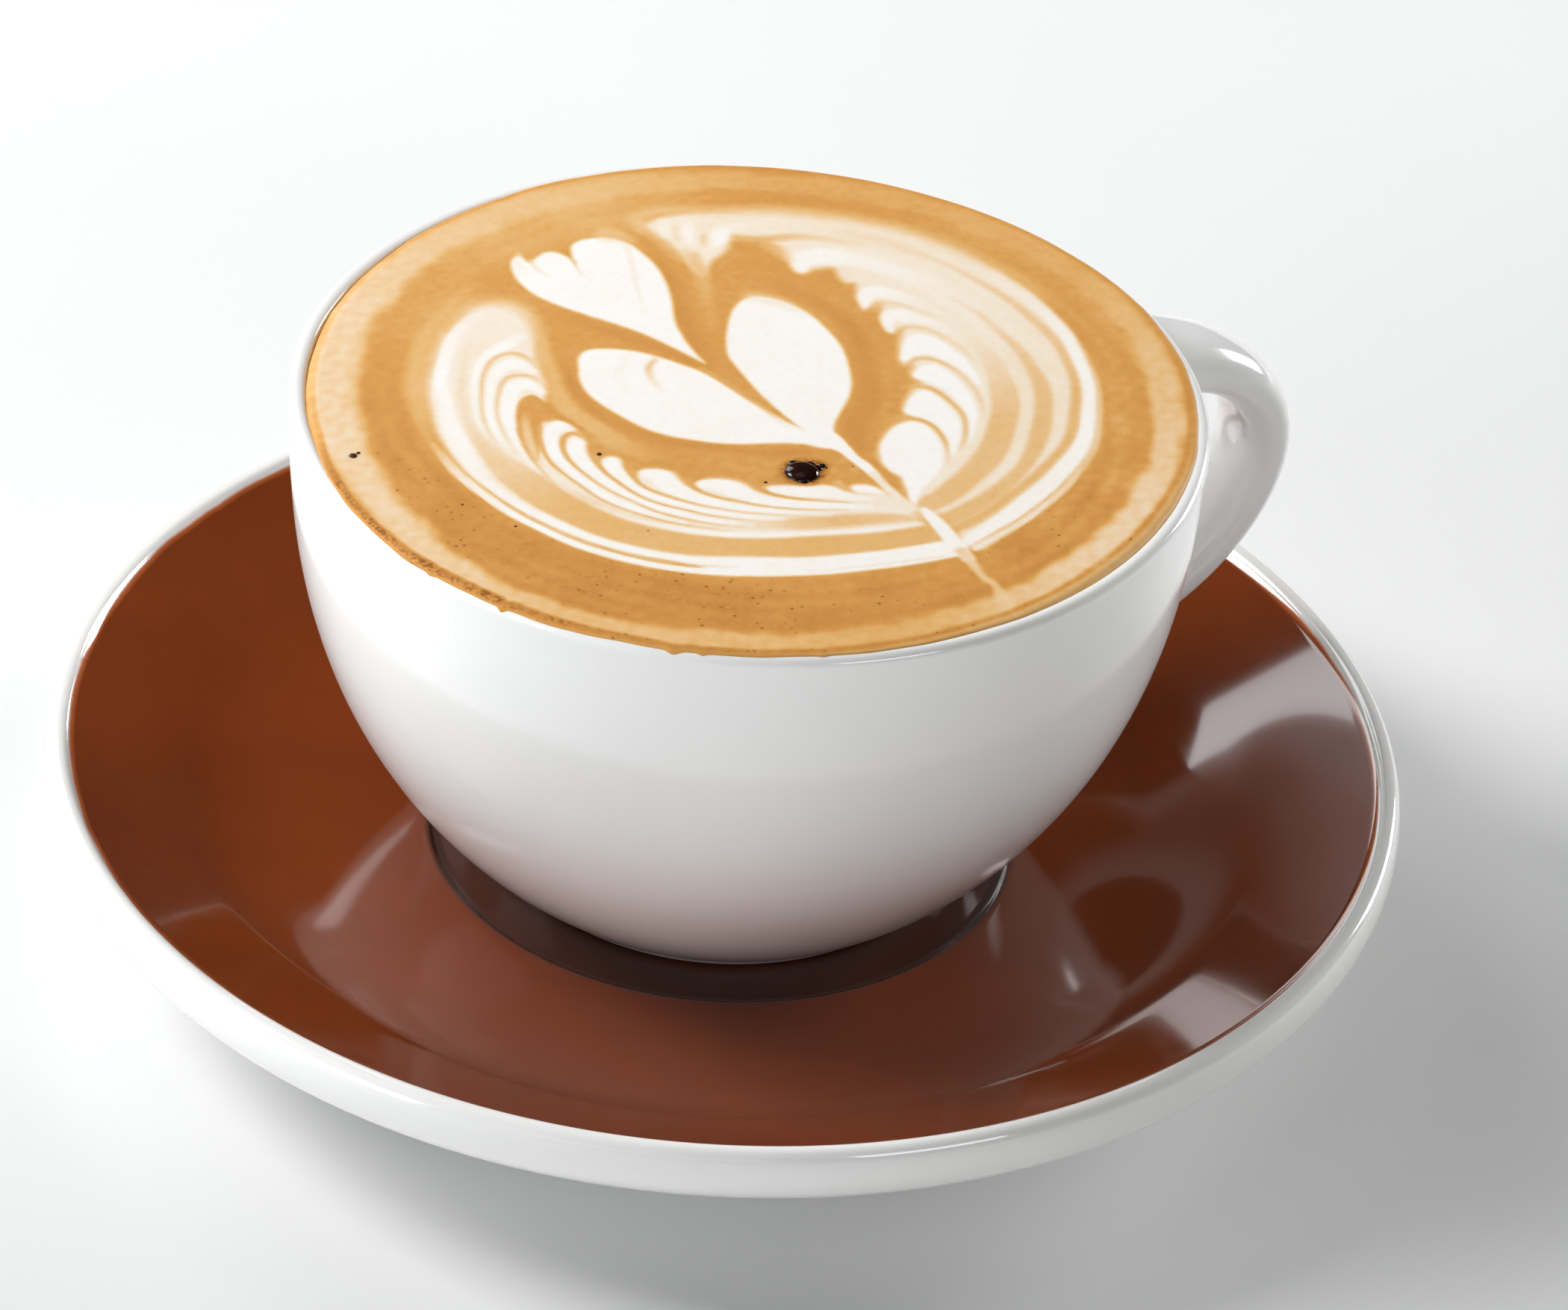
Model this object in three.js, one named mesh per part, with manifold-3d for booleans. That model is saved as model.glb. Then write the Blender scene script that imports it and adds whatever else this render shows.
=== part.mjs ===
// A latte in a round porcelain cup on its saucer: saucer, cup with its handle, and the drink.
// Units are millimetres, +Z is up, the origin is under the middle of the saucer, and the handle points along +X.
import * as THREE from "three";
import { mergeVertices } from "three/addons/utils/BufferGeometryUtils.js";
import Module from "manifold-3d";

// Driving dimensions
const SAUCER_RADIUS = 75;
const CUP_RADIUS = 49.3;
const LIP_HEIGHT = 64; // centre of the lip's round edge, above the table
const WELL_HEIGHT = 7.5; // upper face of the saucer's middle, where the cup stands
const LATHE_SIDES = 64;
const REST_GAP = 0.1; // between the cup's foot and the saucer
const DRINK_GAP = 0.15; // between the drink and the cup's wall

// Saucer section, each point as radius and height
const SAUCER = {
  recessHeight: 2.6,
  footInner: 36,
  footOuter: 41.6,
  footRound: 0.8,
  underside: { inner: 44, innerHeight: 3.2, bend: 55, bendHeight: 4.8, outer: 71.8, outerHeight: 13 },
  rimHeight: 17.8, // where the rim is widest
  crestRadius: 73.5,
  crestHeight: 20.6,
  glazeEdge: { radius: 72.4, height: 19.9 },
  crease: { radius: 54, height: 10.2, start: 59, end: 48 }, // the sloping wall turns into the floor
  wellEdge: { radius: 32.6, height: 8.75, bottom: 31.4 },
};

// Cup: a rounded bowl that is near upright at the lip
const LIP_RADIUS = 1;
const LIP_FLARE = 0.3;
const LIP_FLARE_REACH = 4;
const BOWL = { depth: 65.75, fullness: 2.39, closing: 1.65 };
const CAVITY = { radius: 46, depth: 51.5, fullness: 3, closing: 2, lipFlare: 1.6, lipReach: 6 };
const FOOT = { join: 10.6, waist: 26.4, radius: 26, round: 0.6, inner: 22.4, recess: 1.6 };
const BOWL_RINGS = 12;
const LIP_STEPS = 4;

// Handle: a flat strap bent into an ear, its middle line given by where it leaves the wall and how far it reaches
const HANDLE = {
  top: 5.4, // below the lip
  bottom: 37.8,
  rootDepth: 1.5, // how far the ends sink into the wall
  topPull: 35.8,
  topAngle: -0.11,
  bottomPull: 20.4,
  bottomAngle: -0.31,
  halfThickness: 3.1,
  halfWidth: 5.5,
  squareness: 0.85, // 1 is an ellipse, lower is a boxier section
  rootSpread: 0.28, // how much wider the strap is at the wall
  rootReach: 0.06, // share of its length over which it spreads
  rings: 30,
  sides: 16,
};

// Drink: filled to the brim, so that its skin reaches up onto the lip
const DRINK = { rings: 10, edgeAngle: 1.2, edgeRise: 0.15, crown: 0.3, crownRings: 4 };

const wasm = await Module();
wasm.setup();

const porcelain = new THREE.MeshStandardMaterial({ color: 0xf1f0ee, roughness: 0.12, metalness: 0 });
const brownGlaze = new THREE.MeshStandardMaterial({ color: 0x54240f, roughness: 0.1, metalness: 0 });
const crema = new THREE.MeshStandardMaterial({ color: 0xd39a55, roughness: 0.4, metalness: 0 });

// Turns a section, as [radius, height] points from the axis round to the axis, about Z.
function turned(points) {
  const profile = points.map(([radius, height]) => new THREE.Vector2(radius, height));
  return new THREE.LatheGeometry(profile, LATHE_SIDES).rotateX(Math.PI / 2);
}

function toSolid(geometry) {
  const bare = geometry.clone();
  bare.deleteAttribute("normal");
  bare.deleteAttribute("uv");
  const merged = mergeVertices(bare, 1e-3);
  return new wasm.Manifold(
    new wasm.Mesh({
      numProp: 3,
      vertProperties: merged.attributes.position.array,
      triVerts: new Uint32Array(merged.index.array),
    }),
  );
}

function toGeometry(solid) {
  const mesh = solid.getMesh();
  const geometry = new THREE.BufferGeometry();
  geometry.setAttribute("position", new THREE.BufferAttribute(mesh.vertProperties, 3));
  geometry.setIndex(new THREE.BufferAttribute(mesh.triVerts, 1));
  geometry.computeVertexNormals();
  return geometry;
}

function range(count) {
  return Array.from({ length: count + 1 }, (_, i) => i / count);
}

// Saucer: foot ring, sloping underside, rolled rim, sloping wall, flat floor and a shallow well
function saucerGeometry() {
  const { underside, glazeEdge, crease, wellEdge } = SAUCER;
  const wallSlope = (glazeEdge.height - crease.height) / (glazeEdge.radius - crease.radius);
  const floorSlope = (crease.height - wellEdge.height) / (crease.radius - wellEdge.radius);
  const section = new THREE.Path();
  section.moveTo(0, SAUCER.recessHeight);
  section.lineTo(SAUCER.footInner, SAUCER.recessHeight);
  section.lineTo(SAUCER.footInner + SAUCER.footRound, 0);
  section.lineTo(SAUCER.footOuter - SAUCER.footRound, 0);
  section.lineTo(SAUCER.footOuter, SAUCER.footRound);
  section.lineTo(underside.inner, underside.innerHeight);
  section.quadraticCurveTo(underside.bend, underside.bendHeight, underside.outer, underside.outerHeight);
  section.quadraticCurveTo(SAUCER_RADIUS, underside.outerHeight + 1.4, SAUCER_RADIUS, SAUCER.rimHeight);
  section.quadraticCurveTo(SAUCER_RADIUS, SAUCER.crestHeight, SAUCER.crestRadius, SAUCER.crestHeight);
  section.quadraticCurveTo(glazeEdge.radius + 0.4, SAUCER.crestHeight, glazeEdge.radius, glazeEdge.height);
  section.lineTo(crease.start, crease.height + wallSlope * (crease.start - crease.radius));
  section.quadraticCurveTo(
    crease.radius,
    crease.height,
    crease.end,
    crease.height - floorSlope * (crease.radius - crease.end),
  );
  section.lineTo(wellEdge.radius, wellEdge.height);
  section.quadraticCurveTo(wellEdge.bottom + 0.3, wellEdge.height, wellEdge.bottom, WELL_HEIGHT);
  section.lineTo(0, WELL_HEIGHT);
  return turned(section.getPoints(4).map((p) => [p.x, p.y]));
}

// Outer radius of the bowl at a depth below the lip's centre
function bowlRadius(depth) {
  const share = Math.min(depth / BOWL.depth, 1);
  const round = CUP_RADIUS * (1 - share ** BOWL.fullness) ** (1 / BOWL.closing);
  return round + LIP_FLARE * Math.exp(-depth / LIP_FLARE_REACH);
}

// Inner radius of the bowl at a depth below the lip's centre
function cavityRadius(depth) {
  const share = Math.min(depth / CAVITY.depth, 1);
  const round = CAVITY.radius * (1 - share ** CAVITY.fullness) ** (1 / CAVITY.closing);
  return round + CAVITY.lipFlare * Math.exp(-depth / CAVITY.lipReach) * Math.sqrt(1 - share);
}

// A point round the lip's edge: 0 is outside, a quarter turn is the crest, a half turn is inside.
function lipPoint(angle, radius) {
  const centre = bowlRadius(0) - LIP_RADIUS;
  return [centre + radius * Math.cos(angle), LIP_HEIGHT + radius * Math.sin(angle)];
}

// Section of the bowl filled solid: foot ring, belly and the outer half of the lip
function bowlSection() {
  const base = WELL_HEIGHT + REST_GAP;
  const foot = [
    [0, base + FOOT.recess],
    [FOOT.inner, base + FOOT.recess],
    [FOOT.inner + FOOT.round, base],
    [FOOT.radius - FOOT.round, base],
    [FOOT.radius, base + FOOT.round],
    [FOOT.waist, FOOT.join - FOOT.round],
  ];
  const deepest = LIP_HEIGHT - FOOT.join;
  const belly = range(BOWL_RINGS).map((t) => {
    const depth = deepest * (1 - Math.sin((t * Math.PI) / 2));
    return [bowlRadius(depth), LIP_HEIGHT - depth];
  });
  const lip = range(LIP_STEPS).slice(1).map((t) => lipPoint((t * Math.PI) / 2, LIP_RADIUS));
  return [...foot, ...belly, ...lip, [0, LIP_HEIGHT + LIP_RADIUS]];
}

// Section of the space inside the bowl, up through the inner half of the lip
function cavitySection() {
  const wall = range(BOWL_RINGS).map((t) => {
    const depth = CAVITY.depth * Math.cos((t * Math.PI) / 2);
    return [cavityRadius(depth), LIP_HEIGHT - depth];
  });
  wall[0] = [0, LIP_HEIGHT - CAVITY.depth];
  const lip = range(LIP_STEPS).slice(1).map((t) => lipPoint(Math.PI * (1 - t / 2), LIP_RADIUS));
  const above = LIP_HEIGHT + LIP_RADIUS + 5;
  return [...wall, ...lip, [lipPoint(Math.PI / 2, LIP_RADIUS)[0], above], [0, above]];
}

// The strap's middle line in the XZ plane
function handleCurve() {
  const root = (depth) => new THREE.Vector3(bowlRadius(depth) - HANDLE.rootDepth, 0, LIP_HEIGHT - depth);
  const pulled = (point, angle, pull) =>
    new THREE.Vector3(point.x + pull * Math.cos(angle), 0, point.z + pull * Math.sin(angle));
  const top = root(HANDLE.top);
  const bottom = root(HANDLE.bottom);
  return new THREE.CubicBezierCurve3(
    top,
    pulled(top, HANDLE.topAngle, HANDLE.topPull),
    pulled(bottom, HANDLE.bottomAngle, HANDLE.bottomPull),
    bottom,
  );
}

// A closed strap swept along the middle line, wider where it grows out of the wall
function handleGeometry() {
  const curve = handleCurve();
  const across = new THREE.Vector3(0, 1, 0);
  const boxy = (value) => Math.sign(value) * Math.abs(value) ** HANDLE.squareness;
  const positions = [];
  for (const t of range(HANDLE.rings)) {
    const middle = curve.getPoint(t);
    const outwards = new THREE.Vector3().crossVectors(across, curve.getTangent(t));
    const nearestEnd = Math.min(t, 1 - t);
    const spread = 1 + HANDLE.rootSpread * Math.exp(-nearestEnd / HANDLE.rootReach);
    for (let side = 0; side < HANDLE.sides; side++) {
      const angle = (side / HANDLE.sides) * 2 * Math.PI;
      const point = middle
        .clone()
        .addScaledVector(outwards, HANDLE.halfThickness * spread * boxy(Math.cos(angle)))
        .addScaledVector(across, HANDLE.halfWidth * spread * boxy(Math.sin(angle)));
      positions.push(point.x, point.y, point.z);
    }
  }
  const indices = [];
  const vertex = (ring, side) => ring * HANDLE.sides + (side % HANDLE.sides);
  for (let ring = 0; ring < HANDLE.rings; ring++) {
    for (let side = 0; side < HANDLE.sides; side++) {
      const [a, b] = [vertex(ring, side), vertex(ring, side + 1)];
      const [c, d] = [vertex(ring + 1, side), vertex(ring + 1, side + 1)];
      indices.push(a, b, c, b, d, c);
    }
  }
  for (let side = 1; side < HANDLE.sides - 1; side++) {
    indices.push(vertex(0, 0), vertex(0, side + 1), vertex(0, side));
    indices.push(vertex(HANDLE.rings, 0), vertex(HANDLE.rings, side), vertex(HANDLE.rings, side + 1));
  }
  const geometry = new THREE.BufferGeometry();
  geometry.setAttribute("position", new THREE.Float32BufferAttribute(positions, 3));
  geometry.setIndex(indices);
  return geometry;
}

// Cup: the filled bowl and the handle are joined, then the inside is hollowed out
function cupGeometry() {
  const filled = toSolid(turned(bowlSection())).add(toSolid(handleGeometry()));
  return toGeometry(filled.subtract(toSolid(turned(cavitySection()))));
}

// Drink: fills the bowl and climbs the inner side of the lip, with a low crown of foam
function drinkGeometry() {
  const wall = range(DRINK.rings).map((t) => {
    const depth = CAVITY.depth * Math.cos((t * Math.PI) / 2);
    return [cavityRadius(depth) - DRINK_GAP, LIP_HEIGHT - depth + DRINK_GAP * (1 - t)];
  });
  wall[0] = [0, LIP_HEIGHT - CAVITY.depth + DRINK_GAP];
  const climb = range(LIP_STEPS)
    .slice(1)
    .map((t) => lipPoint(Math.PI - DRINK.edgeAngle * t, LIP_RADIUS + DRINK_GAP));
  const [edge, edgeHeight] = climb.at(-1);
  const top = range(DRINK.crownRings).map((t) => {
    const share = 1 - t;
    return [edge * share, edgeHeight + DRINK.edgeRise + DRINK.crown * (1 - share ** 2)];
  });
  return turned([...wall, ...climb, ...top]);
}

function named(name, geometry, material) {
  const mesh = new THREE.Mesh(geometry, material);
  mesh.name = name;
  return mesh;
}

const latte = new THREE.Group();
latte.add(named("saucer", saucerGeometry(), brownGlaze));
latte.add(named("cup", cupGeometry(), porcelain));
latte.add(named("drink", drinkGeometry(), crema));

export default latte;
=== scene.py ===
"""Looks of a latte in a cup and saucer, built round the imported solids. Design sizes are millimetres."""
import math

import bpy
import numpy as np
from mathutils import Matrix, Vector


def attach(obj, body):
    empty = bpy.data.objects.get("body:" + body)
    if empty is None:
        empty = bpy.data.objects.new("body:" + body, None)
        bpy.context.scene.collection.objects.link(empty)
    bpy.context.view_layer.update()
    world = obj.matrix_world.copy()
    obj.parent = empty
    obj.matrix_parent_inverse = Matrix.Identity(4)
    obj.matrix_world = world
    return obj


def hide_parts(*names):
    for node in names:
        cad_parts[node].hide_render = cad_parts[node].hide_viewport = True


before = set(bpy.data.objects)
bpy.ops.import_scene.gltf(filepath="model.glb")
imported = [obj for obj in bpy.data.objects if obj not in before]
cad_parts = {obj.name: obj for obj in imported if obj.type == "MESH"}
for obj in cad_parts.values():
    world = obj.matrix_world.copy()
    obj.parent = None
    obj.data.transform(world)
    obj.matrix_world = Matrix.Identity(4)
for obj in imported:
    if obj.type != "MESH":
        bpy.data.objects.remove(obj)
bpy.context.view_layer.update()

MM = 0.001
VIEW_TURN = math.radians(31)  # the handle lies this far behind the picture's right-hand direction

# Saucer
SAUCER_RADIUS = 75
RIM_HEIGHT = 17.8
CREST = (73.5, 20.6)
GLAZE_EDGE = (72.4, 19.9)
CREASE = (54, 10.2)
WELL_EDGE = (32.6, 8.75)
WELL_BOTTOM = 31.4
WELL_HEIGHT = 7.5
BEND_OUTER, BEND_INNER = 59, 48  # where the bend between the wall and the floor begins and ends
UNDERSIDE = 2.6
SAUCER_SIDES = 256

# Cup
CUP_RADIUS = 49.3
LIP_HEIGHT = 64
LIP_RADIUS = 1
LIP_FLARE, LIP_FLARE_REACH = 0.3, 4
BOWL_DEPTH, BOWL_FULLNESS, BOWL_CLOSING = 65.75, 2.39, 1.65
CAVITY_RADIUS, CAVITY_DEPTH, CAVITY_FULLNESS, CAVITY_CLOSING = 46, 51.5, 3, 2
CAVITY_FLARE, CAVITY_FLARE_REACH = 1.6, 6
CUP_CLEARANCE = 0.1  # between the foot ring and the saucer
FOOT_HOLLOW, FOOT_JOIN = 1.6, 8.7
CUP_SIDES = 192
LIP_CENTRE = CUP_RADIUS + LIP_FLARE - LIP_RADIUS

# Handle
HANDLE_TOP, HANDLE_BOTTOM, ROOT_DEPTH = 5.4, 37.8, 1.5
TOP_PULL, TOP_ANGLE = 35.8, -0.11
BOTTOM_PULL, BOTTOM_ANGLE = 20.4, -0.31
STRAP_HALF = (3.1, 5.5)
STRAP_SQUARENESS = 0.85
ROOT_SPREAD, ROOT_REACH = 0.28, 0.06
STRAP_RINGS, STRAP_SIDES = 110, 48

# Drink
FOAM_LEVEL, FOAM_CROWN, FOAM_RADIUS = 65.22, 0.3, 48.2
FOAM_RINGS = 160
RING_START = (34, 38)  # radii over which the pattern gives way to the outer ring
WALL_OVERLAP = 0.1
WALL_DEPTHS = (3, 10, 20, 30, 38, 44, 48, 50.5)
PIT_SCALE = 1000
BUBBLE_PALING = 1.6

# Floor
FLOOR_REACH, FLOOR_DROP = 6000, 0.2

NOISE_SPAN = (0.3, 0.7)  # where most of a noise node's values lie
CURVE_STEPS = 7
TINY = 1e-9


def srgb(red, green, blue):
    """Linear colour with alpha from 0 to 255 display values."""
    def linear(value):
        value /= 255
        return value / 12.92 if value <= 0.04045 else ((value + 0.055) / 1.055) ** 2.4
    return (linear(red), linear(green), linear(blue), 1)


def smooth(low, high, value):
    share = np.clip((value - low) / (high - low), 0, 1)
    return share * share * (3 - 2 * share)


def from_view(x, y):
    """Part-frame place of a point given to the right of and away from the picture's viewpoint."""
    c, s = math.cos(VIEW_TURN), math.sin(VIEW_TURN)
    return x * c + y * s, -x * s + y * c


def to_view(x, y):
    c, s = math.cos(VIEW_TURN), math.sin(VIEW_TURN)
    return x * c - y * s, x * s + y * c


# Materials

def plug(tree, socket, value):
    """Sets a socket to a plain value or links an output to it."""
    if isinstance(value, (int, float, tuple)):
        socket.default_value = value
    else:
        tree.links.new(value, socket)


def new_material(name):
    material = bpy.data.materials.new(name)
    material.use_nodes = True
    return material, material.node_tree


def dress(material, inputs):
    """Fills the shader's inputs by name, with plain values or the outputs of other nodes."""
    shader = material.node_tree.nodes["Principled BSDF"]
    for name, value in inputs.items():
        plug(material.node_tree, shader.inputs[name], value)
    return material


def attribute_node(tree, name):
    node = tree.nodes.new("ShaderNodeAttribute")
    node.attribute_name = name
    return node.outputs["Fac"]


def ramp_node(tree, source, stops):
    ramp = tree.nodes.new("ShaderNodeValToRGB")
    elements = ramp.color_ramp.elements
    while len(elements) < len(stops):
        elements.new(0.5)
    for element, (position, colour) in zip(elements, stops):
        element.position = position
        element.color = colour
    tree.links.new(source, ramp.inputs["Fac"])
    return ramp.outputs["Color"]


def noise_node(tree, scale, detail=3.0, roughness=0.5):
    place = tree.nodes.new("ShaderNodeTexCoord")
    noise = tree.nodes.new("ShaderNodeTexNoise")
    noise.inputs["Scale"].default_value = scale
    noise.inputs["Detail"].default_value = detail
    noise.inputs["Roughness"].default_value = roughness
    tree.links.new(place.outputs["Object"], noise.inputs["Vector"])
    return noise.outputs["Fac"]


def mapped(tree, source, low, high, to_low, to_high):
    node = tree.nodes.new("ShaderNodeMapRange")
    for socket, value in zip(("From Min", "From Max", "To Min", "To Max"), (low, high, to_low, to_high)):
        node.inputs[socket].default_value = value
    tree.links.new(source, node.inputs["Value"])
    return node.outputs["Result"]


def uneven(tree, low, high, *noise):
    """Noise spread between two values."""
    return mapped(tree, noise_node(tree, *noise), *NOISE_SPAN, low, high)


def math_node(tree, operation, first, *others):
    """Values joined one after another by one operation."""
    for other in others:
        node = tree.nodes.new("ShaderNodeMath")
        node.operation = operation
        plug(tree, node.inputs[0], first)
        plug(tree, node.inputs[1], other)
        first = node.outputs["Value"]
    return first


def mix_colour(tree, share, first, second):
    node = tree.nodes.new("ShaderNodeMix")
    node.data_type = "RGBA"
    for index, value in ((0, share), (6, first), (7, second)):
        plug(tree, node.inputs[index], value)
    return node.outputs[2]


def bump_node(tree, height, strength, distance):
    bump = tree.nodes.new("ShaderNodeBump")
    bump.inputs["Strength"].default_value = strength
    bump.inputs["Distance"].default_value = distance
    tree.links.new(height, bump.inputs["Height"])
    return bump.outputs["Normal"]


def porcelain_material():
    material, tree = new_material("porcelain")
    tints = [(0.3, srgb(240, 240, 239)), (0.7, srgb(246, 245, 243))]
    return dress(material, {
        "Base Color": ramp_node(tree, noise_node(tree, 28), tints),
        "Roughness": uneven(tree, 0.1, 0.17, 90),
        "Normal": bump_node(tree, noise_node(tree, 60, 2), 0.05, 0.0006),
        "IOR": 1.5,
        "Coat Weight": 0.3,
        "Coat Roughness": 0.05,
    })


def saucer_material():
    """Brown glaze inside the rim, thinning to orange at its edge and darkened inside the well as painted
    shade, with white porcelain beyond it.
    """
    material, tree = new_material("saucer_glaze")
    edge = math_node(tree, "ADD", attribute_node(tree, "glaze"), uneven(tree, -0.06, 0.06, 120, 4))
    browns = [(0.25, srgb(110, 47, 16)), (0.75, srgb(124, 57, 22))]
    brown = ramp_node(tree, noise_node(tree, 45, 4), browns)
    # Painted shade: inside the well round the cup's foot the brown darkens to near black-brown, standing in
    # for the cup's shadow there.
    brown_with_painted_well_shade = mix_colour(tree, mapped(tree, edge, 1.2, 1.8, 0, 1), brown, srgb(70, 30, 12))
    thin = ramp_node(tree, edge, [(0.55, srgb(196, 106, 56)), (0.85, srgb(126, 56, 20))])
    inside = mix_colour(tree, mapped(tree, edge, 0.75, 1, 0, 1), thin, brown_with_painted_well_shade)
    white = srgb(236, 235, 233)
    return dress(material, {
        "Base Color": mix_colour(tree, mapped(tree, edge, 0.42, 0.58, 0, 1), white, inside),
        "Roughness": uneven(tree, 0.06, 0.12, 70),
        "Normal": bump_node(tree, noise_node(tree, 35, 2), 0.06, 0.0008),
        "IOR": 1.52,
        "Coat Weight": 0.4,
        "Coat Roughness": 0.04,
    })


# Tones of the foam, from the darkest coffee to the whitest milk
TONES = [
    (-0.6, srgb(150, 92, 34)),
    (-0.35, srgb(190, 126, 56)),
    (0, srgb(217, 157, 82)),
    (0.2, srgb(228, 181, 116)),
    (0.45, srgb(236, 203, 160)),
    (0.7, srgb(241, 226, 205)),
    (1, srgb(248, 244, 240)),
]
TONE_LOW, TONE_HIGH = TONES[0][0], TONES[-1][0]


def foam_material():
    """Foam coloured by its tone, with grit in the dried coffee and fine pits in the near part of the ring."""
    material, tree = new_material("foam")
    milk = attribute_node(tree, "milk")
    grain = uneven(tree, -0.03, 0.03, 900, 5, 0.65)
    cloud = uneven(tree, -0.02, 0.02, 160)
    dried = mapped(tree, milk, 0.12, 0.27, 1, 0)
    grit = mapped(tree, noise_node(tree, 2400, 2), 0.36, 0.64, -0.12, 0.2)
    tone = math_node(tree, "ADD", milk, grain, cloud, math_node(tree, "MULTIPLY", grit, dried))
    stops = [((place - TONE_LOW) / (TONE_HIGH - TONE_LOW), colour) for place, colour in TONES]
    place = tree.nodes.new("ShaderNodeTexCoord").outputs["Object"]
    cells = tree.nodes.new("ShaderNodeTexVoronoi")
    cells.inputs["Scale"].default_value = PIT_SCALE
    tree.links.new(place, cells.inputs["Vector"])
    toward = tree.nodes.new("ShaderNodeVectorMath")
    toward.operation = "DOT_PRODUCT"
    toward.inputs[1].default_value = (*from_view(0, -1), 0)
    tree.links.new(place, toward.inputs[0])
    pits = math_node(
        tree, "MULTIPLY",
        mapped(tree, cells.outputs["Distance"], 0.12, 0.26, 1, 0),
        mapped(tree, cells.outputs["Color"], 0.46, 0.54, 0, 1),
        mapped(tree, milk, 0.35, 0.42, 0.8, 0),
        mapped(tree, noise_node(tree, 110, 2), 0.42, 0.58, 0.1, 1),
        mapped(tree, toward.outputs["Value"], 0.012, 0.022, 0, 1),
    )
    return dress(material, {
        "Base Color": mix_colour(tree, pits, ramp_node(tree, tone, stops), srgb(140, 84, 34)),
        "Roughness": mapped(tree, milk, 0.3, 1, 0.5, 0.6),
        "Normal": bump_node(tree, noise_node(tree, 1500, 4, 0.6), 0.12, 0.0002),
        "IOR": 1.36,
        "Specular IOR Level": 0.25,
        "Subsurface Weight": 0.12,
        "Subsurface Radius": (1.0, 0.6, 0.35),
        "Subsurface Scale": 0.0012,
    })


# Meshes

def add_object(name, data):
    thing = bpy.data.objects.new(name, data)
    bpy.context.scene.collection.objects.link(thing)
    return thing


def add_mesh(name, points, faces):
    mesh = bpy.data.meshes.new(name)
    mesh.from_pydata((np.asarray(points) * MM).tolist(), [], faces)
    return add_object(name, mesh)


def add_piece(name, points, faces, material, slot, *nodes):
    piece = add_mesh(name, points, faces)
    piece.data.shade_smooth()
    piece.data.materials.append(material)
    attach(piece, "root")
    if nodes:
        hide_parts(*nodes)
    return piece


def set_values(piece, name, values):
    """Stores one value for each point of a piece."""
    attribute = piece.data.attributes.new(name, "FLOAT", "POINT")
    attribute.data.foreach_set("value", values.astype(np.float32))


def steps_round(count):
    """Each place in a ring of places, with the one after it."""
    return [(place, (place + 1) % count) for place in range(count)]


def ring_quads(first, second, count):
    """Faces between two rings of points that start at these places."""
    return [(first + a, first + b, second + b, second + a) for a, b in steps_round(count)]


def turned(section, sides):
    """Points and faces of a section of (radius, height), from the axis round to the axis, turned about Z."""
    angles = np.arange(sides) * 2 * math.pi / sides
    rings = [
        np.column_stack((radius * np.cos(angles), radius * np.sin(angles), np.full(sides, height)))
        for radius, height in section[1:-1]
    ]
    points = np.vstack([[(0, 0, section[0][1])], *rings, [(0, 0, section[-1][1])]])
    faces = [(0, 1 + b, 1 + a) for a, b in steps_round(sides)]
    last = 1 + (len(rings) - 1) * sides
    for start in range(1, last, sides):
        faces += ring_quads(start, start + sides, sides)
    faces += [(len(points) - 1, last + a, last + b) for a, b in steps_round(sides)]
    return points, faces


def section_of(start, *legs):
    """Places from a start along legs: (end, steps) if straight, (control, end, steps) if bent."""
    section = [start]
    for *control, end, steps in legs:
        start = section[-1]
        middle = control[0] if control else tuple((a + b) / 2 for a, b in zip(start, end))
        section += [
            tuple((1 - t) ** 2 * a + 2 * t * (1 - t) * b + t * t * c for a, b, c in zip(start, middle, end))
            for t in (np.arange(steps) + 1) / steps
        ]
    return section


def saucer_section():
    """From the middle of the underside over the foot ring and the rim to the middle of the well."""
    wall_slope = (GLAZE_EDGE[1] - CREASE[1]) / (GLAZE_EDGE[0] - CREASE[0])
    floor_slope = (CREASE[1] - WELL_EDGE[1]) / (CREASE[0] - WELL_EDGE[0])
    return section_of(
        (0, UNDERSIDE),
        ((35.4, UNDERSIDE), 6),
        ((36.2, UNDERSIDE), (36.4, 1.6), 4),
        ((36.7, 0), (37.6, 0), 6),
        ((40.2, 0), 3),
        ((41.4, 0), (41.9, 1), 6),
        ((42.6, 2.9), (44, 3.2), 6),
        ((55, 4.8), (71.8, 13), 16),
        ((SAUCER_RADIUS, 14.4), (SAUCER_RADIUS, RIM_HEIGHT), 12),
        ((SAUCER_RADIUS, CREST[1]), CREST, 12),
        ((GLAZE_EDGE[0] + 0.4, CREST[1]), GLAZE_EDGE, 8),
        ((BEND_OUTER, CREASE[1] + wall_slope * (BEND_OUTER - CREASE[0])), 14),
        (CREASE, (BEND_INNER, CREASE[1] - floor_slope * (CREASE[0] - BEND_INNER)), 14),
        ((WELL_EDGE[0] + 1, WELL_EDGE[1] + floor_slope), 10),
        (WELL_EDGE, (WELL_EDGE[0] - 0.4, WELL_EDGE[1] - 0.5), 5),
        ((WELL_BOTTOM, WELL_HEIGHT), (WELL_BOTTOM - 0.9, WELL_HEIGHT), 5),
        ((0, WELL_HEIGHT), 6),
    )


def bowl_radius(depth):
    share = min(depth / BOWL_DEPTH, 1)
    body = CUP_RADIUS * (1 - share ** BOWL_FULLNESS) ** (1 / BOWL_CLOSING)
    return body + LIP_FLARE * math.exp(-depth / LIP_FLARE_REACH)


def cavity_radius(depth):
    share = min(depth / CAVITY_DEPTH, 1)
    body = CAVITY_RADIUS * (1 - share ** CAVITY_FULLNESS) ** (1 / CAVITY_CLOSING)
    return body + CAVITY_FLARE * math.exp(-depth / CAVITY_FLARE_REACH) * math.sqrt(1 - share)


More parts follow.
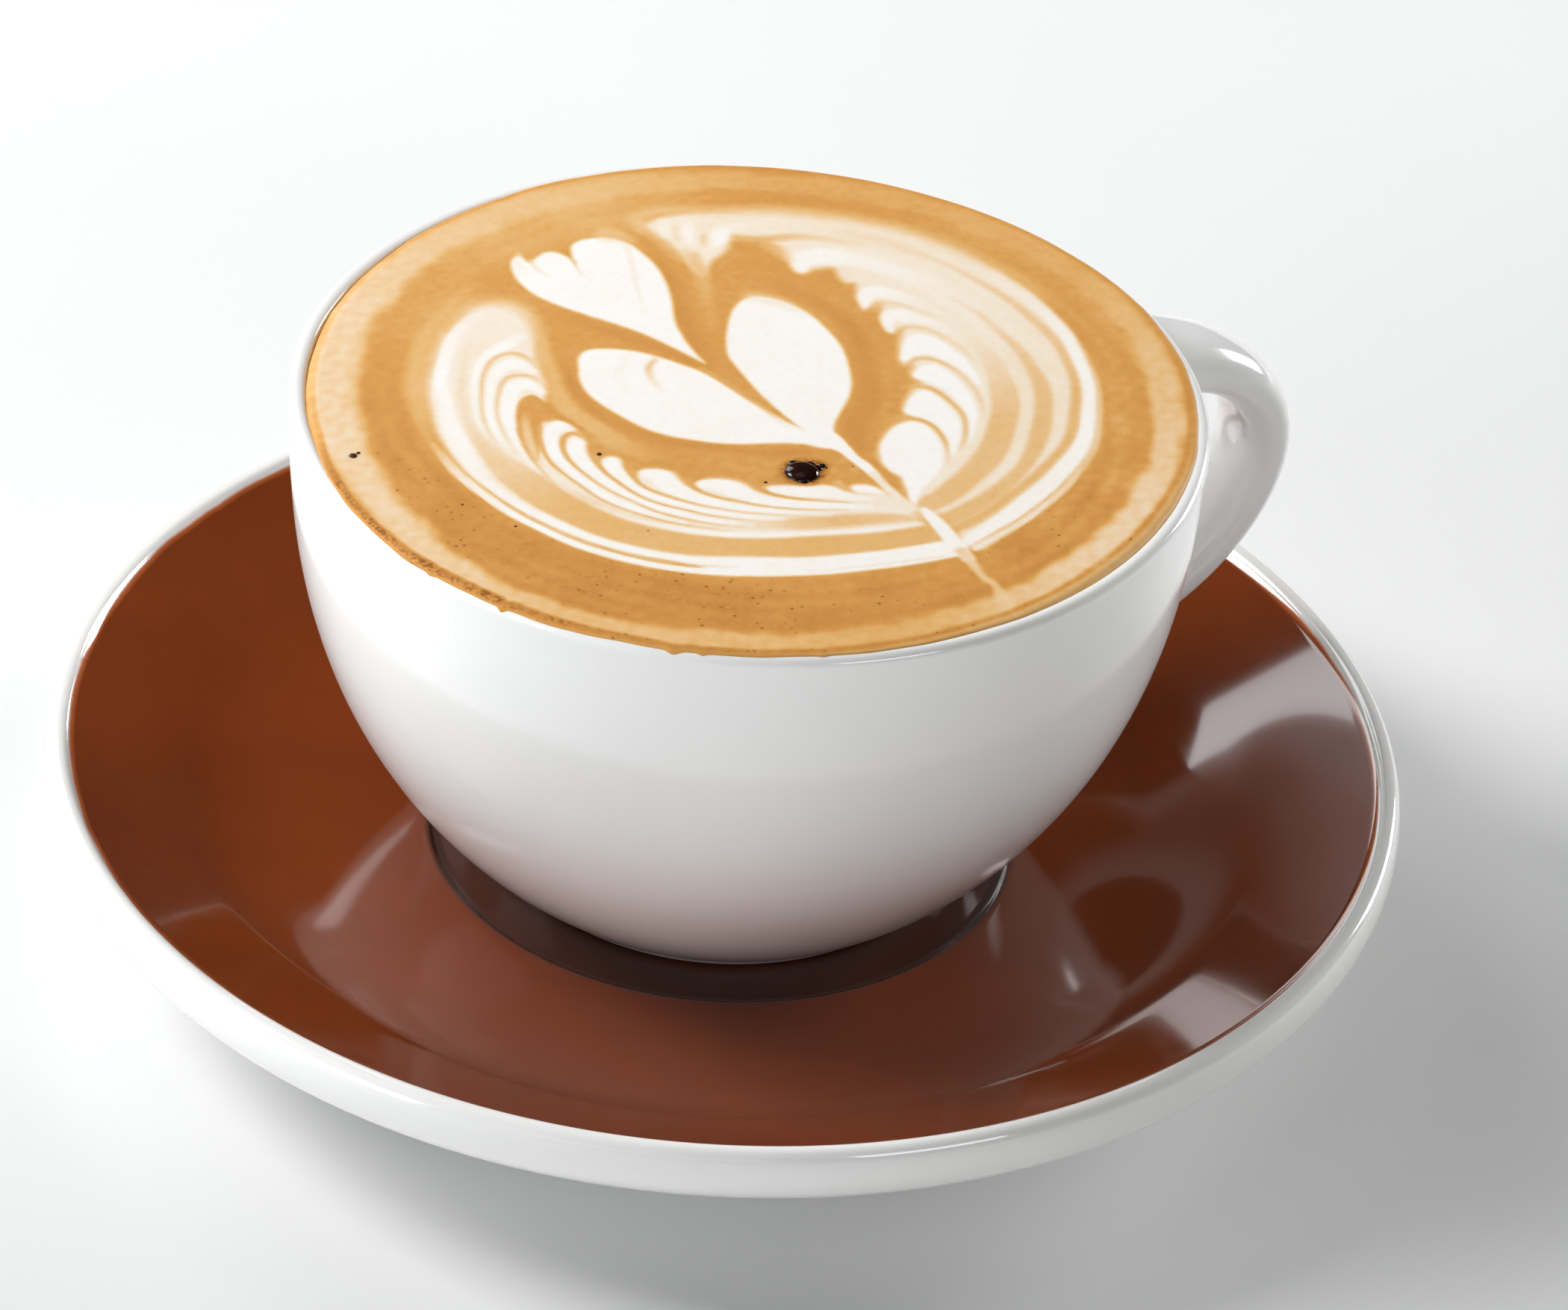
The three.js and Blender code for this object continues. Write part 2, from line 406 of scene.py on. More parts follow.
def lip_point(angle, radius):
    return LIP_CENTRE + radius * np.cos(angle), LIP_HEIGHT + radius * np.sin(angle)


def cup_section():
    """From the middle of the underside over the foot ring and the lip to the bottom of the hollow."""
    base = WELL_HEIGHT + CUP_CLEARANCE
    deepest = LIP_HEIGHT - FOOT_JOIN
    section = section_of(
        (0, base + FOOT_HOLLOW),
        ((21, base + FOOT_HOLLOW), 5),
        ((21.9, base + FOOT_HOLLOW), (22.1, base + 0.8), 4),
        ((22.3, base), (23, base), 5),
        ((24, base), 3),
        ((24.8, base), (bowl_radius(deepest), FOOT_JOIN), 6),
    )
    for t in np.linspace(0, math.pi / 2, 72)[1:]:
        depth = deepest * (1 - math.sin(t))
        section.append((bowl_radius(depth), LIP_HEIGHT - depth))
    section += [lip_point(angle, LIP_RADIUS) for angle in np.linspace(0, math.pi, 25)[1:]]
    for t in np.linspace(math.pi / 2, 0, 56)[1:-1]:
        depth = CAVITY_DEPTH * math.cos(t)
        section.append((cavity_radius(depth), LIP_HEIGHT - depth))
    return section + [(0, LIP_HEIGHT - CAVITY_DEPTH)]


def handle_mesh():
    """A strap swept along a bent middle line in the XZ plane, wider where it grows out of the wall."""
    def root(depth):
        return np.array((bowl_radius(depth) - ROOT_DEPTH, LIP_HEIGHT - depth))

    def pulled(point, angle, pull):
        return point + pull * np.array((math.cos(angle), math.sin(angle)))

    top, bottom = root(HANDLE_TOP), root(HANDLE_BOTTOM)
    knots = [top, pulled(top, TOP_ANGLE, TOP_PULL), pulled(bottom, BOTTOM_ANGLE, BOTTOM_PULL), bottom]
    turn = np.arange(STRAP_SIDES) * 2 * math.pi / STRAP_SIDES
    along, across = [np.sign(f(turn)) * np.abs(f(turn)) ** STRAP_SQUARENESS for f in (np.cos, np.sin)]
    points, faces = [], []
    for t in np.linspace(0, 1, STRAP_RINGS):
        weights = ((1 - t) ** 3, 3 * t * (1 - t) ** 2, 3 * t * t * (1 - t), t ** 3)
        slopes = (-3 * (1 - t) ** 2, 3 * (1 - t) * (1 - 3 * t), 3 * t * (2 - 3 * t), 3 * t * t)
        middle = sum(w * k for w, k in zip(weights, knots))
        tangent = sum(w * k for w, k in zip(slopes, knots))
        tangent /= np.linalg.norm(tangent)
        spread = 1 + ROOT_SPREAD * math.exp(-min(t, 1 - t) / ROOT_REACH)
        offset = STRAP_HALF[0] * spread * along
        points += list(zip(
            middle[0] + offset * tangent[1],
            STRAP_HALF[1] * spread * across,
            middle[1] - offset * tangent[0],
        ))
    last = (STRAP_RINGS - 1) * STRAP_SIDES
    for start in range(0, last, STRAP_SIDES):
        faces += ring_quads(start, start + STRAP_SIDES, STRAP_SIDES)
    faces.append(tuple(reversed(range(STRAP_SIDES))))
    faces.append(tuple(range(last, last + STRAP_SIDES)))
    return points, faces


def make_cup(material):
    cup = add_piece("cup_glazed", *turned(cup_section(), CUP_SIDES), material, "porcelain", "cup")
    strap = add_mesh("strap", *handle_mesh())
    join = cup.modifiers.new("join", "BOOLEAN")
    join.operation = "UNION"
    join.solver = "EXACT"
    join.object = strap
    joined = bpy.data.meshes.new_from_object(cup.evaluated_get(bpy.context.evaluated_depsgraph_get()))
    cup.modifiers.remove(join)
    cup.data = joined
    joined.shade_smooth()
    bpy.data.objects.remove(strap)


def make_saucer(material):
    section = saucer_section()
    saucer = add_piece("saucer_glazed", *turned(section, SAUCER_SIDES), material, "brown_glaze", "saucer")
    radius = np.array([math.hypot(v.co.x, v.co.y) for v in saucer.data.vertices]) / MM
    facing_up = np.array([v.normal.z > 0 for v in saucer.data.vertices])
    glaze = smooth(GLAZE_EDGE[0] + 1, GLAZE_EDGE[0] - 1, radius)
    # The well adds a second step to the glaze value; the material paints it as shade under the cup.
    glaze += smooth(WELL_EDGE[0] + 0.5, WELL_EDGE[0] - 0.5, radius)
    set_values(saucer, "glaze", glaze * facing_up)


# Foam pattern, painted as a tone for each point. Places are (right, away) as seen in the picture.

def curve(points, closed=False):
    """A smooth line through the given rows."""
    p = np.asarray(points, float)
    if closed:
        p = np.vstack([p[-1:], p, p[:2]])
    else:
        p = np.vstack([2 * p[:1] - p[1:2], p, 2 * p[-1:] - p[-2:-1]])
    t = (np.arange(CURVE_STEPS) / CURVE_STEPS)[:, None]
    parts = [
        0.5 * (2 * b + (c - a) * t + (2 * a - 5 * b + 4 * c - d) * t ** 2 + (3 * b - a - 3 * c + d) * t ** 3)
        for a, b, c, d in zip(p, p[1:], p[2:], p[3:])
    ]
    return np.vstack(parts) if closed else np.vstack([*parts, p[-2:-1]])


def polar(rows):
    """Rows of (angle in degrees, radius, ...) as rows of (right, away, ...)."""
    rows = np.asarray(rows, float)
    angle = np.radians(rows[:, 0])
    return np.column_stack((rows[:, 1] * np.cos(angle), rows[:, 1] * np.sin(angle), rows[:, 2:]))


def segment(x, y, start, end):
    """How far along a segment the nearest place lies, as a share, and the distance to it."""
    dx, dy = end[0] - start[0], end[1] - start[1]
    x, y = x - start[0], y - start[1]
    share = np.clip((x * dx + y * dy) / max(dx * dx + dy * dy, TINY), 0, 1)
    return share, np.hypot(x - share * dx, y - share * dy)


class Canvas:
    """A tone for each point, with later paint laid over earlier paint."""

    def __init__(self, x, y):
        self.x, self.y = x, y
        self.tone = np.zeros_like(x)

    def near(self, path, margin):
        low, high = path[:, :2].min(0) - margin, path[:, :2].max(0) + margin
        return np.flatnonzero(
            (self.x > low[0]) & (self.x < high[0]) & (self.y > low[1]) & (self.y < high[1])
        )

    def lay(self, tone, cover, chosen=slice(None)):
        self.tone[chosen] += (tone - self.tone[chosen]) * cover

    def stroke(self, path, tone, soft):
        """Paints along rows of (right, away, half width, strength)."""
        chosen = self.near(path, path[:, 2].max() + 2 * soft)
        x, y = self.x[chosen], self.y[chosen]
        depth = np.full(len(chosen), -np.inf)
        strength = np.zeros(len(chosen))
        for a, b in zip(path, path[1:]):
            share, distance = segment(x, y, a, b)
            _, _, half, strong = a[:, None] + share * (b - a)[:, None]
            better = half - distance > depth
            depth[better] = (half - distance)[better]
            strength[better] = strong[better]
        self.lay(tone, smooth(-soft, soft, depth) * np.clip(strength, 0, 1), chosen)

    def band(self, rows, tone, soft):
        """A stroke between two radii: rows of (angle, outer, inner, strength if not 1)."""
        full = [(a, (o + i) / 2, (o - i) / 2, *(s or [1])) for a, o, i, *s in rows]
        self.stroke(polar(curve(full)), tone, soft)

    def line(self, rows, half, tone, soft):
        """A thin stroke: rows of (angle, radius, strength if not 1)."""
        self.stroke(polar(curve([(a, r, half, *(s or [1])) for a, r, *s in rows])), tone, soft)

    def free(self, rows, tone, soft):
        """A stroke through places: rows of (right, away, half width, strength if not 1)."""
        self.stroke(curve([(x, y, h, *(s or [1])) for x, y, h, *s in rows]), tone, soft)

    def fill(self, outline, tone, soft):
        """Fills a closed smooth outline of places."""
        path = curve(outline, closed=True)
        chosen = self.near(path, 2 * soft)
        x, y = self.x[chosen], self.y[chosen]
        inside = np.zeros(len(chosen), bool)
        depth = np.full(len(chosen), np.inf)
        for a, b in zip(path, np.roll(path, -1, 0)):
            depth = np.minimum(depth, segment(x, y, a, b)[1])
            crosses = (a[1] > y) != (b[1] > y)
            inside ^= crosses & (x < a[0] + (y - a[1]) * (b[0] - a[0]) / ((b[1] - a[1]) or TINY))
        self.lay(tone, smooth(-soft, soft, np.where(inside, depth, -depth)), chosen)


def around(angles, knots):
    """A value round the cup from {angle: value}."""
    places = sorted(knots)
    values = [knots[k] for k in places]
    return np.interp(np.degrees(angles) % 360, places, values, period=360)


def ripple(x, y, waves):
    """Uneven drifting tone between -1 and 1 from (right, away, shift) waves."""
    return sum(
        np.sin(a * x + b * y + shift + 1.3 * np.sin(0.7 * b * x - 0.6 * a * y)) for a, b, shift in waves
    ) / len(waves)


def paint_surroundings(canvas):
    """Coffee tones of the outer ring, between the pattern and the wall."""
    radius, angle = np.hypot(canvas.x, canvas.y), np.arctan2(canvas.y, canvas.x)
    outside = smooth(*RING_START, radius)
    dark = around(angle, {
        0: -0.04, 30: 0.01, 60: 0.03, 90: -0.06, 120: 0.15, 150: 0.05, 180: -0.02, 210: -0.12, 240: -0.16,
        270: -0.18, 300: -0.12, 330: -0.06,
    })
    canvas.lay(dark, outside)
    clouds = ripple(canvas.x, canvas.y, ((0.35, 0.21, 0.4), (-0.18, 0.46, 1.9), (0.62, -0.33, 3.1)))
    flecks = ripple(canvas.x, canvas.y, ((1.9, 1.1, 0.2), (-1.2, 2.3, 1.4), (2.9, -1.7, 2.2)))
    torn = ripple(canvas.x, canvas.y, ((0.42, 0.25, 1), (-0.3, 0.55, 0.3), (1.1, 0.8, 2.6)))
    streaks = np.sin(2.3 * radius + 2.2 * np.sin(2 * angle + 0.5)) * np.sin(2.5 * angle + 0.3 * radius)
    rough = around(angle, {
        0: 1.5, 30: 0.8, 60: 0.4, 120: 0.4, 180: 0.8, 220: 1.3, 270: 1.2, 300: 1.8, 330: 2,
    })
    canvas.tone += outside * rough * (0.05 * clouds + 0.035 * streaks) + 0.028 * rough * flecks
    # The pale ring along the wall: its tone, its middle radius and half its width
    peak = around(angle, {
        0: 0.42, 20: 0.3, 40: 0.14, 70: 0.1, 90: 0.12, 120: 0.3, 145: 0.42, 165: 0.54, 190: 0.56, 215: 0.56,
        232: 0.48, 250: 0.3, 270: 0.3, 290: 0.16, 305: 0.3, 322: 0.56, 340: 0.56,
    })
    middle = around(angle, {
        0: 45, 30: 46, 60: 46, 90: 45.2, 120: 44.6, 150: 44.8, 180: 45, 205: 45.2, 220: 46, 240: 47.6,
        270: 46.8, 300: 45.5, 330: 44.8,
    })
    width = around(angle, {
        0: 2.4, 60: 2.6, 120: 3, 160: 3.6, 200: 3.6, 225: 3, 240: 2.4, 270: 2.6, 300: 2.4, 330: 2.3,
    })
    cover = smooth(width, 0.35 * width, np.abs(radius - middle + 0.5 * torn)) * (0.88 + 0.12 * flecks)
    canvas.lay(peak, cover)


def paint_lower_wing(canvas):
    """The rosetta's near wing: its white edge, the lobes and the seams between them."""
    canvas.band([
        (150, 37, 35.2, 0.3), (160, 37.1, 35.4), (175, 37.2, 35.4), (190, 37, 35.2), (202, 36.8, 35.4, 0.5),
    ], 0.2, 0.8)
    canvas.free([
        (-23.4, 9, 0.7, 0.4), (-22.4, 4.5, 0.9), (-21.4, 1, 1.1), (-20.4, -2.2, 1.4), (-18.8, -5.4, 1.6),
        (-16.6, -8.4, 1.6), (-14.2, -10.8, 1.5, 0.8), (-11.5, -12.6, 1.2, 0.4), (-8.5, -13.6, 1, 0.1),
    ], 0.2, 0.7)
    outer = polar([
        (310, 33), (305, 33.5), (290, 33), (275, 33), (260, 33.4), (245, 34), (230, 34.4), (215, 34.8),
        (200, 34.9), (185, 34.6), (170, 34.5), (158, 34.1),
    ])
    scallops = [
        (-30.6, 14.2), (-29, 15.2), (-27.4, 15.4), (-25.8, 14.6), (-24.6, 13), (-23.9, 10.6), (-23.7, 8.5),
        (-23.5, 5), (-23, 2.5), (-22.3, 0), (-21.9, -2), (-22, -5), (-21.8, -8), (-20.3, -7.7), (-19.2, -8.4),
        (-18.3, -9.8), (-17.5, -10.9), (-17.1, -11.8), (-17, -13), (-16.6, -14.4), (-16, -15.3),
        (-15.4, -15.4), (-15.2, -14.6), (-14.3, -14), (-13.5, -14.4), (-13.1, -15.6), (-12.6, -16.8),
        (-12, -17.6), (-11.4, -17.3), (-11.2, -16.5), (-10, -15.9), (-8.5, -15.9), (-7.4, -16.3),
        (-6.9, -17.3), (-6.2, -18.3), (-5.5, -18.6), (-5.1, -17.8), (-4, -16.9), (-2.5, -16.75), (-1, -16.9),
        (0.1, -17.5), (1.2, -18.5), (2.2, -18.7), (2.2, -17.9), (3.5, -17.25), (5, -17), (7, -16.7),
        (8.6, -16.5), (9.8, -17.3), (11, -17.3), (11.3, -16.4), (12, -16), (13, -15.9), (14.2, -16.6),
        (15.6, -17.8), (17.4, -19.6), (19.2, -22.5),
    ]
    canvas.fill(np.vstack([outer, scallops]), 0.74, 0.6)
    canvas.free([
        (-32.6, 11.6, 0.7, 0.3), (-31, 13.8, 0.8, 0.6), (-28.6, 15.2, 1, 0.7), (-26, 14.6, 1, 0.7),
        (-24.2, 11.8, 0.9, 0.7), (-23.3, 8, 0.8, 0.6), (-22.7, 4, 0.7, 0.4),
    ], 0.34, 0.9)
    canvas.free([
        (-29, 14, 0.7, 0.2), (-31.6, 10, 0.8, 0.4), (-32.8, 5, 0.8, 0.8), (-33.3, 0, 0.75), (-32.7, -4, 0.7),
        (-31.9, -8, 0.7), (-31, -11, 0.7), (-29.6, -14.6, 0.8), (-27.4, -18.6, 0.8, 0.6),
    ], 0.92, 0.4)
    canvas.free([
        (-30.6, 7, 0.4, 0.1), (-31, 2, 0.4, 0.5), (-31, -3, 0.45, 0.6), (-30.4, -6, 0.55, 0.6),
        (-29.8, -9, 0.6, 0.6), (-28.4, -13, 0.8, 0.7), (-26, -17, 1, 0.7),
    ], 0.5, 0.45)
    canvas.band([
        (152, 35, 34, 0.2), (162, 35.3, 34.1, 0.6), (174, 35.4, 34.3, 0.6), (186, 35.4, 34.4, 0.5),
        (198, 35.4, 34.8, 0.2),
    ], 0.42, 0.7)
    canvas.band([
        (196, 31.8, 30.6, 0), (210, 32.4, 29.4, 0.35), (220, 32.7, 28.4, 0.7), (230, 32.8, 28.4, 0.9),
        (240, 32.8, 28.5), (250, 32.6, 28.4), (260, 31.9, 28.1), (270, 31.2, 27.7), (280, 31, 27.4),
        (290, 31.2, 27.6), (300, 31.9, 28.5), (309, 32.9, 29.6),
    ], 0.19, 0.4)
    canvas.free([
        (-19, -20.4, 0.5, 0.2), (-15.5, -23.4, 0.6, 0.5), (-11.4, -25.4, 0.5, 0.5), (-7, -26.4, 0.3, 0.3),
    ], 0.3, 0.5)
    canvas.free([
        (-3, -25.8, 0.4, 0.1), (3, -24.8, 0.9, 0.5), (7, -24, 1.2, 0.85), (11, -22.9, 1.2),
        (15, -21.9, 0.9, 0.9), (18.4, -21.5, 0.6, 0.7),
    ], 0.28, 0.6)
    canvas.band([
        (203, 36.3, 35.5, 0.2), (210, 36.4, 35.2, 0.6), (220, 36.2, 35, 0.9), (230, 36, 34.9),
        (240, 35.9, 34.8), (250, 35.8, 34.7), (260, 35.3, 34.2), (270, 34.8, 33.5),
    ], 0.95, 0.25)
    canvas.band([
        (163, 34, 32.8, 0.3), (170, 33.9, 32.9, 0.7), (190, 34, 32.9, 0.6), (210, 34.6, 33.5, 0.7),
        (230, 34.3, 33.1, 0.9), (250, 34, 32.8), (260, 33.4, 32.2), (270, 34.6, 31.5), (280, 34.4, 31.2),
        (290, 34.6, 31.4), (300, 35.1, 32), (306, 35.7, 32.7), (310, 36.2, 33.3),
    ], 0.95, 0.28)
    canvas.line([
        (203, 35, 0), (212, 34.9, 0.5), (222, 34.8, 0.9), (230, 34.6), (240, 34.5), (250, 34.3), (256, 34),
        (262, 33.6, 0.7), (270, 33.2, 0.2),
    ], 0.18, 0.22, 0.18)
    canvas.line([(282, 33.5, 0.2), (292, 33.9, 0.6), (300, 34.4, 0.6), (307, 35.3, 0.5)], 0.14, 0.5, 0.16)
    canvas.band([
        (234, 28.5, 27.9, 0.1), (245, 28.3, 27.6, 0.6), (260, 27.9, 27.1, 0.9), (270, 27.5, 26.7),
        (280, 27.2, 26.5), (290, 27.4, 26.8, 0.9), (297, 27.9, 27.3, 0.8), (303, 28.5, 28, 0.7),
        (309, 29.2, 28.8, 0.5),
    ], 0.92, 0.2)
    lobes = [
        [(-25.4, 8.6, 0.7, 0.4), (-26.6, 7, 0.9, 0.9), (-27.8, 5.6, 0.8), (-28.8, 3.6, 0.7),
         (-29.3, 1.2, 0.6), (-29.5, -1, 0.55), (-29.4, -4, 0.5, 0.8), (-29, -7, 0.4, 0.6),
         (-28, -11, 0.4, 0.2)],
        [(-23.6, 1.8, 0.5, 0.6), (-25.3, 3, 1), (-26.6, 2.2, 0.95), (-27.4, 0.6, 0.7), (-27.9, -1.5, 0.55),
         (-28, -4, 0.5), (-27.7, -6.5, 0.5), (-27.2, -9, 0.5), (-26.6, -11, 0.45, 0.8),
         (-25.6, -13.4, 0.4, 0.3)],
        [(-22.4, -2.4, 0.5, 0.6), (-23.2, -1.6, 0.7, 0.8), (-24.4, -1, 1), (-25.6, -2.2, 0.95),
         (-25.8, -4.5, 0.9), (-25.7, -7, 0.85), (-25.3, -9.5, 0.75), (-24.7, -11.5, 0.7),
         (-23.9, -13.5, 0.6, 0.8), (-22.8, -15.5, 0.5, 0.6), (-21.2, -18, 0.5, 0.2)],
        [(-18.8, -9.2, 0.5, 0.6), (-20.2, -8.8, 1), (-20.9, -10, 0.85), (-20.7, -12, 0.75),
         (-20.1, -14, 0.75), (-19.1, -16, 0.7), (-17.8, -18, 0.65), (-16.2, -19.9, 0.6), (-14.4, -21.7, 0.6),
         (-12, -23.2, 0.5), (-9.5, -24.4, 0.4, 0.8), (-6, -25.6, 0.35, 0.6)],
        [(-18.1, -11.9, 0.9), (-18, -13.2, 0.9), (-17.3, -15, 0.85), (-16.1, -17, 0.75), (-14.6, -18.9, 0.7),
         (-12.7, -20.8, 0.65), (-10.5, -22.4, 0.6), (-8, -23.4, 0.55), (-5, -24.4, 0.5), (-2, -25, 0.5, 0.8),
         (1, -25.1, 0.4, 0.4)],
        [(-14.3, -15, 0.9), (-14, -16.3, 0.95), (-13.1, -17.8, 0.9), (-11.7, -19.3, 0.8), (-9.8, -20.8, 0.75),
         (-7.5, -22, 0.65), (-5, -22.8, 0.6), (-2, -23.4, 0.55), (1, -23.6, 0.5, 0.8), (4, -23.6, 0.5, 0.4)],
        [(-10.2, -16.9, 0.9), (-8.8, -17, 1.1), (-8.2, -18.3, 1.3), (-6.7, -19.7, 1.1), (-4.8, -20.8, 0.9),
         (-2.5, -21.6, 0.8), (0, -22.1, 0.7), (3, -22.2, 0.6), (6, -22.2, 0.5, 0.7), (9, -22, 0.5, 0.4)],
        [(-4.3, -18, 0.8), (-2.6, -18.1, 1.2), (-1, -18.8, 1.3), (0.8, -19.9, 1), (3, -20.4, 0.85),
         (5.5, -20.5, 0.8), (8, -20.4, 0.75), (10.5, -20.2, 0.7, 0.9), (13, -19.8, 0.6, 0.7)],
        [(3.2, -18, 0.6), (5, -18, 0.95), (7, -17.9, 1), (9, -17.6, 1.1, 0.9), (11, -18.3, 0.8, 0.8),
         (13, -18.6, 0.7, 0.7)],
        [(12, -16.7, 0.6), (13.2, -16.8, 0.7), (14.4, -17.2, 0.4, 0.6)],
    ]
    for rows in lobes:
        canvas.free(rows, 0.96, 0.3)
    canvas.free([
        (-23, 2.6, 0.5, 0.3), (-24, 4, 0.45, 0.6), (-25, 4.9, 0.36), (-26, 5.1, 0.36), (-27, 4.7, 0.34),
        (-27.7, 4, 0.32), (-28.2, 3, 0.3), (-28.75, 0.5, 0.26), (-28.9, -1, 0.24, 0.9),
        (-28.9, -3, 0.24, 0.85), (-28.75, -5, 0.24, 0.8), (-28.4, -7, 0.24, 0.75), (-27.7, -10, 0.26, 0.6),
        (-26.6, -13, 0.26, 0.3),
    ], 0.36, 0.28)
    canvas.free([
        (-22.4, -0.6, 0.45, 0.3), (-23.3, 0.4, 0.4, 0.7), (-24.3, 0.8, 0.34), (-25, 0.75, 0.34),
        (-25.7, 0.5, 0.32), (-26.2, 0, 0.3), (-26.6, -0.8, 0.27), (-26.9, -2, 0.25, 0.9),
        (-27.05, -3.5, 0.24, 0.85), (-27.05, -5, 0.24, 0.8), (-26.9, -6.5, 0.24, 0.75),
        (-26.6, -8, 0.24, 0.7), (-26.2, -9.5, 0.24, 0.65), (-25.2, -12.4, 0.26, 0.4), (-24, -15, 0.3, 0.1),
    ], 0.38, 0.26)
    canvas.free([
        (-23.3, -4, 0.7), (-22, -5.4, 0.8), (-20.6, -6.7, 0.55), (-19, -7.9, 0.4, 0.9),
        (-17.5, -9.4, 0.35, 0.7), (-16.2, -10.6, 0.4, 0.3),
    ], -0.05, 0.35)
    gap = [
        (-23.4, -3.1), (-24.3, -3.7), (-24.8, -5), (-24.85, -7), (-24.6, -9), (-24.2, -10.8), (-23.6, -12.8),
        (-22.9, -14.6), (-22.2, -15.9), (-21.8, -14.6), (-21.9, -12.6), (-22.1, -10.6), (-22, -8.6),
        (-21.6, -7.2), (-21.6, -5.4), (-22.4, -3.7),
    ]
    canvas.fill(gap, 0, 0.25)
    canvas.free([
        (-23.9, -7, 0.3, 0.2), (-23.6, -9.5, 0.45, 0.8), (-23.1, -12, 0.5, 0.9), (-22.4, -14.4, 0.45, 0.9),
        (-21.5, -16.6, 0.4, 0.4),
    ], 0.44, 0.3)
    seams = [
        [(-24.4, -9.6, 0.25), (-24, -11.6, 0.25), (-23.4, -13.6, 0.25, 0.9), (-22.7, -15.3, 0.25, 0.8),
         (-21.8, -17, 0.25, 0.6), (-20.8, -18.8, 0.25, 0.4), (-19.6, -20.4, 0.25, 0.1)],
        [(-22.2, -9, 0.3), (-22.1, -11, 0.32), (-21.7, -12.8, 0.32), (-21.2, -14.4, 0.28), (-20.5, -16, 0.26),
         (-19.6, -17.3, 0.24), (-18.5, -18.6, 0.22, 0.9), (-17, -20.2, 0.22, 0.85), (-15.4, -21.9, 0.22, 0.8),
         (-13.6, -23.2, 0.22, 0.8), (-11.6, -24.2, 0.2, 0.8), (-9.4, -25.1, 0.2, 0.8), (-8, -25.6, 0.2, 0.7),
         (-5, -26.2, 0.2, 0.6), (-1, -26.5, 0.2, 0.2)],
        [(-17.2, -11, 0.3, 0.3), (-18.1, -10.3, 0.34, 0.9), (-18.9, -10.2, 0.38), (-19.5, -11.1, 0.4),
         (-19.5, -12.5, 0.36), (-19.2, -13.8, 0.32), (-18.6, -15.2, 0.28), (-17.8, -16.5, 0.24),
         (-16.6, -18, 0.22, 0.9), (-15.2, -19.5, 0.2, 0.8), (-13.4, -21, 0.2, 0.8), (-11.6, -22.2, 0.2, 0.8),
         (-9.8, -23.4, 0.2, 0.8), (-8, -24.3, 0.2, 0.8), (-5, -25.2, 0.2, 0.7), (-2, -25.5, 0.2, 0.5),
         (2, -25.4, 0.2, 0.1)],
        [(-16.1, -13.4, 0.5, 0.6), (-16, -14.4, 0.45), (-15.6, -15.6, 0.36), (-15, -16.7, 0.3),
         (-14.2, -17.8, 0.26), (-13, -19.1, 0.24), (-11.6, -20.5, 0.22), (-10, -21.7, 0.22, 0.9),
         (-8, -22.6, 0.22, 0.9), (-6, -23.2, 0.2, 0.85), (-4, -23.8, 0.2, 0.8), (-2, -24, 0.2, 0.7),
         (1, -24.1, 0.2, 0.4), (5, -24, 0.2, 0.1)],
        [(-12.4, -15.6, 0.5, 0.6), (-12.2, -16.4, 0.45), (-11.7, -17.6, 0.36), (-11, -18.8, 0.3),
         (-9.9, -19.8, 0.26), (-8.4, -20.6, 0.24), (-6, -21.6, 0.22, 0.9), (-4, -22.2, 0.2, 0.8),
         (-2, -22.5, 0.2, 0.7), (0, -22.7, 0.2, 0.6), (4, -22.8, 0.2, 0.4), (8, -22.5, 0.2, 0.1)],
        [(-6.2, -17.2, 0.5, 0.6), (-5.7, -18.2, 0.4), (-5, -19.1, 0.32), (-4, -19.8, 0.28),
         (-2.5, -20.4, 0.25), (0, -20.9, 0.22, 0.9), (2, -21.3, 0.2, 0.85), (5, -21.5, 0.2, 0.7),
         (8, -21.3, 0.2, 0.55), (11, -20.8, 0.2, 0.3)],
        [(1.2, -17.7, 0.5, 0.6), (1.9, -18.3, 0.45), (2.9, -18.95, 0.34), (4.4, -19.3, 0.28),
         (6, -19.45, 0.25), (8, -19.45, 0.22, 0.8), (10.5, -19.5, 0.2, 0.6), (13, -19.3, 0.2, 0.3)],
    ]
    for rows in seams:
        canvas.free(rows, 0.1, 0.22)
    canvas.free([
        (9.9, -16, 0.6, 0.9), (10.6, -17, 0.4, 0.8), (12, -17.7, 0.2, 0.5), (13.8, -17.6, 0.2, 0.3),
    ], 0.2, 0.3)


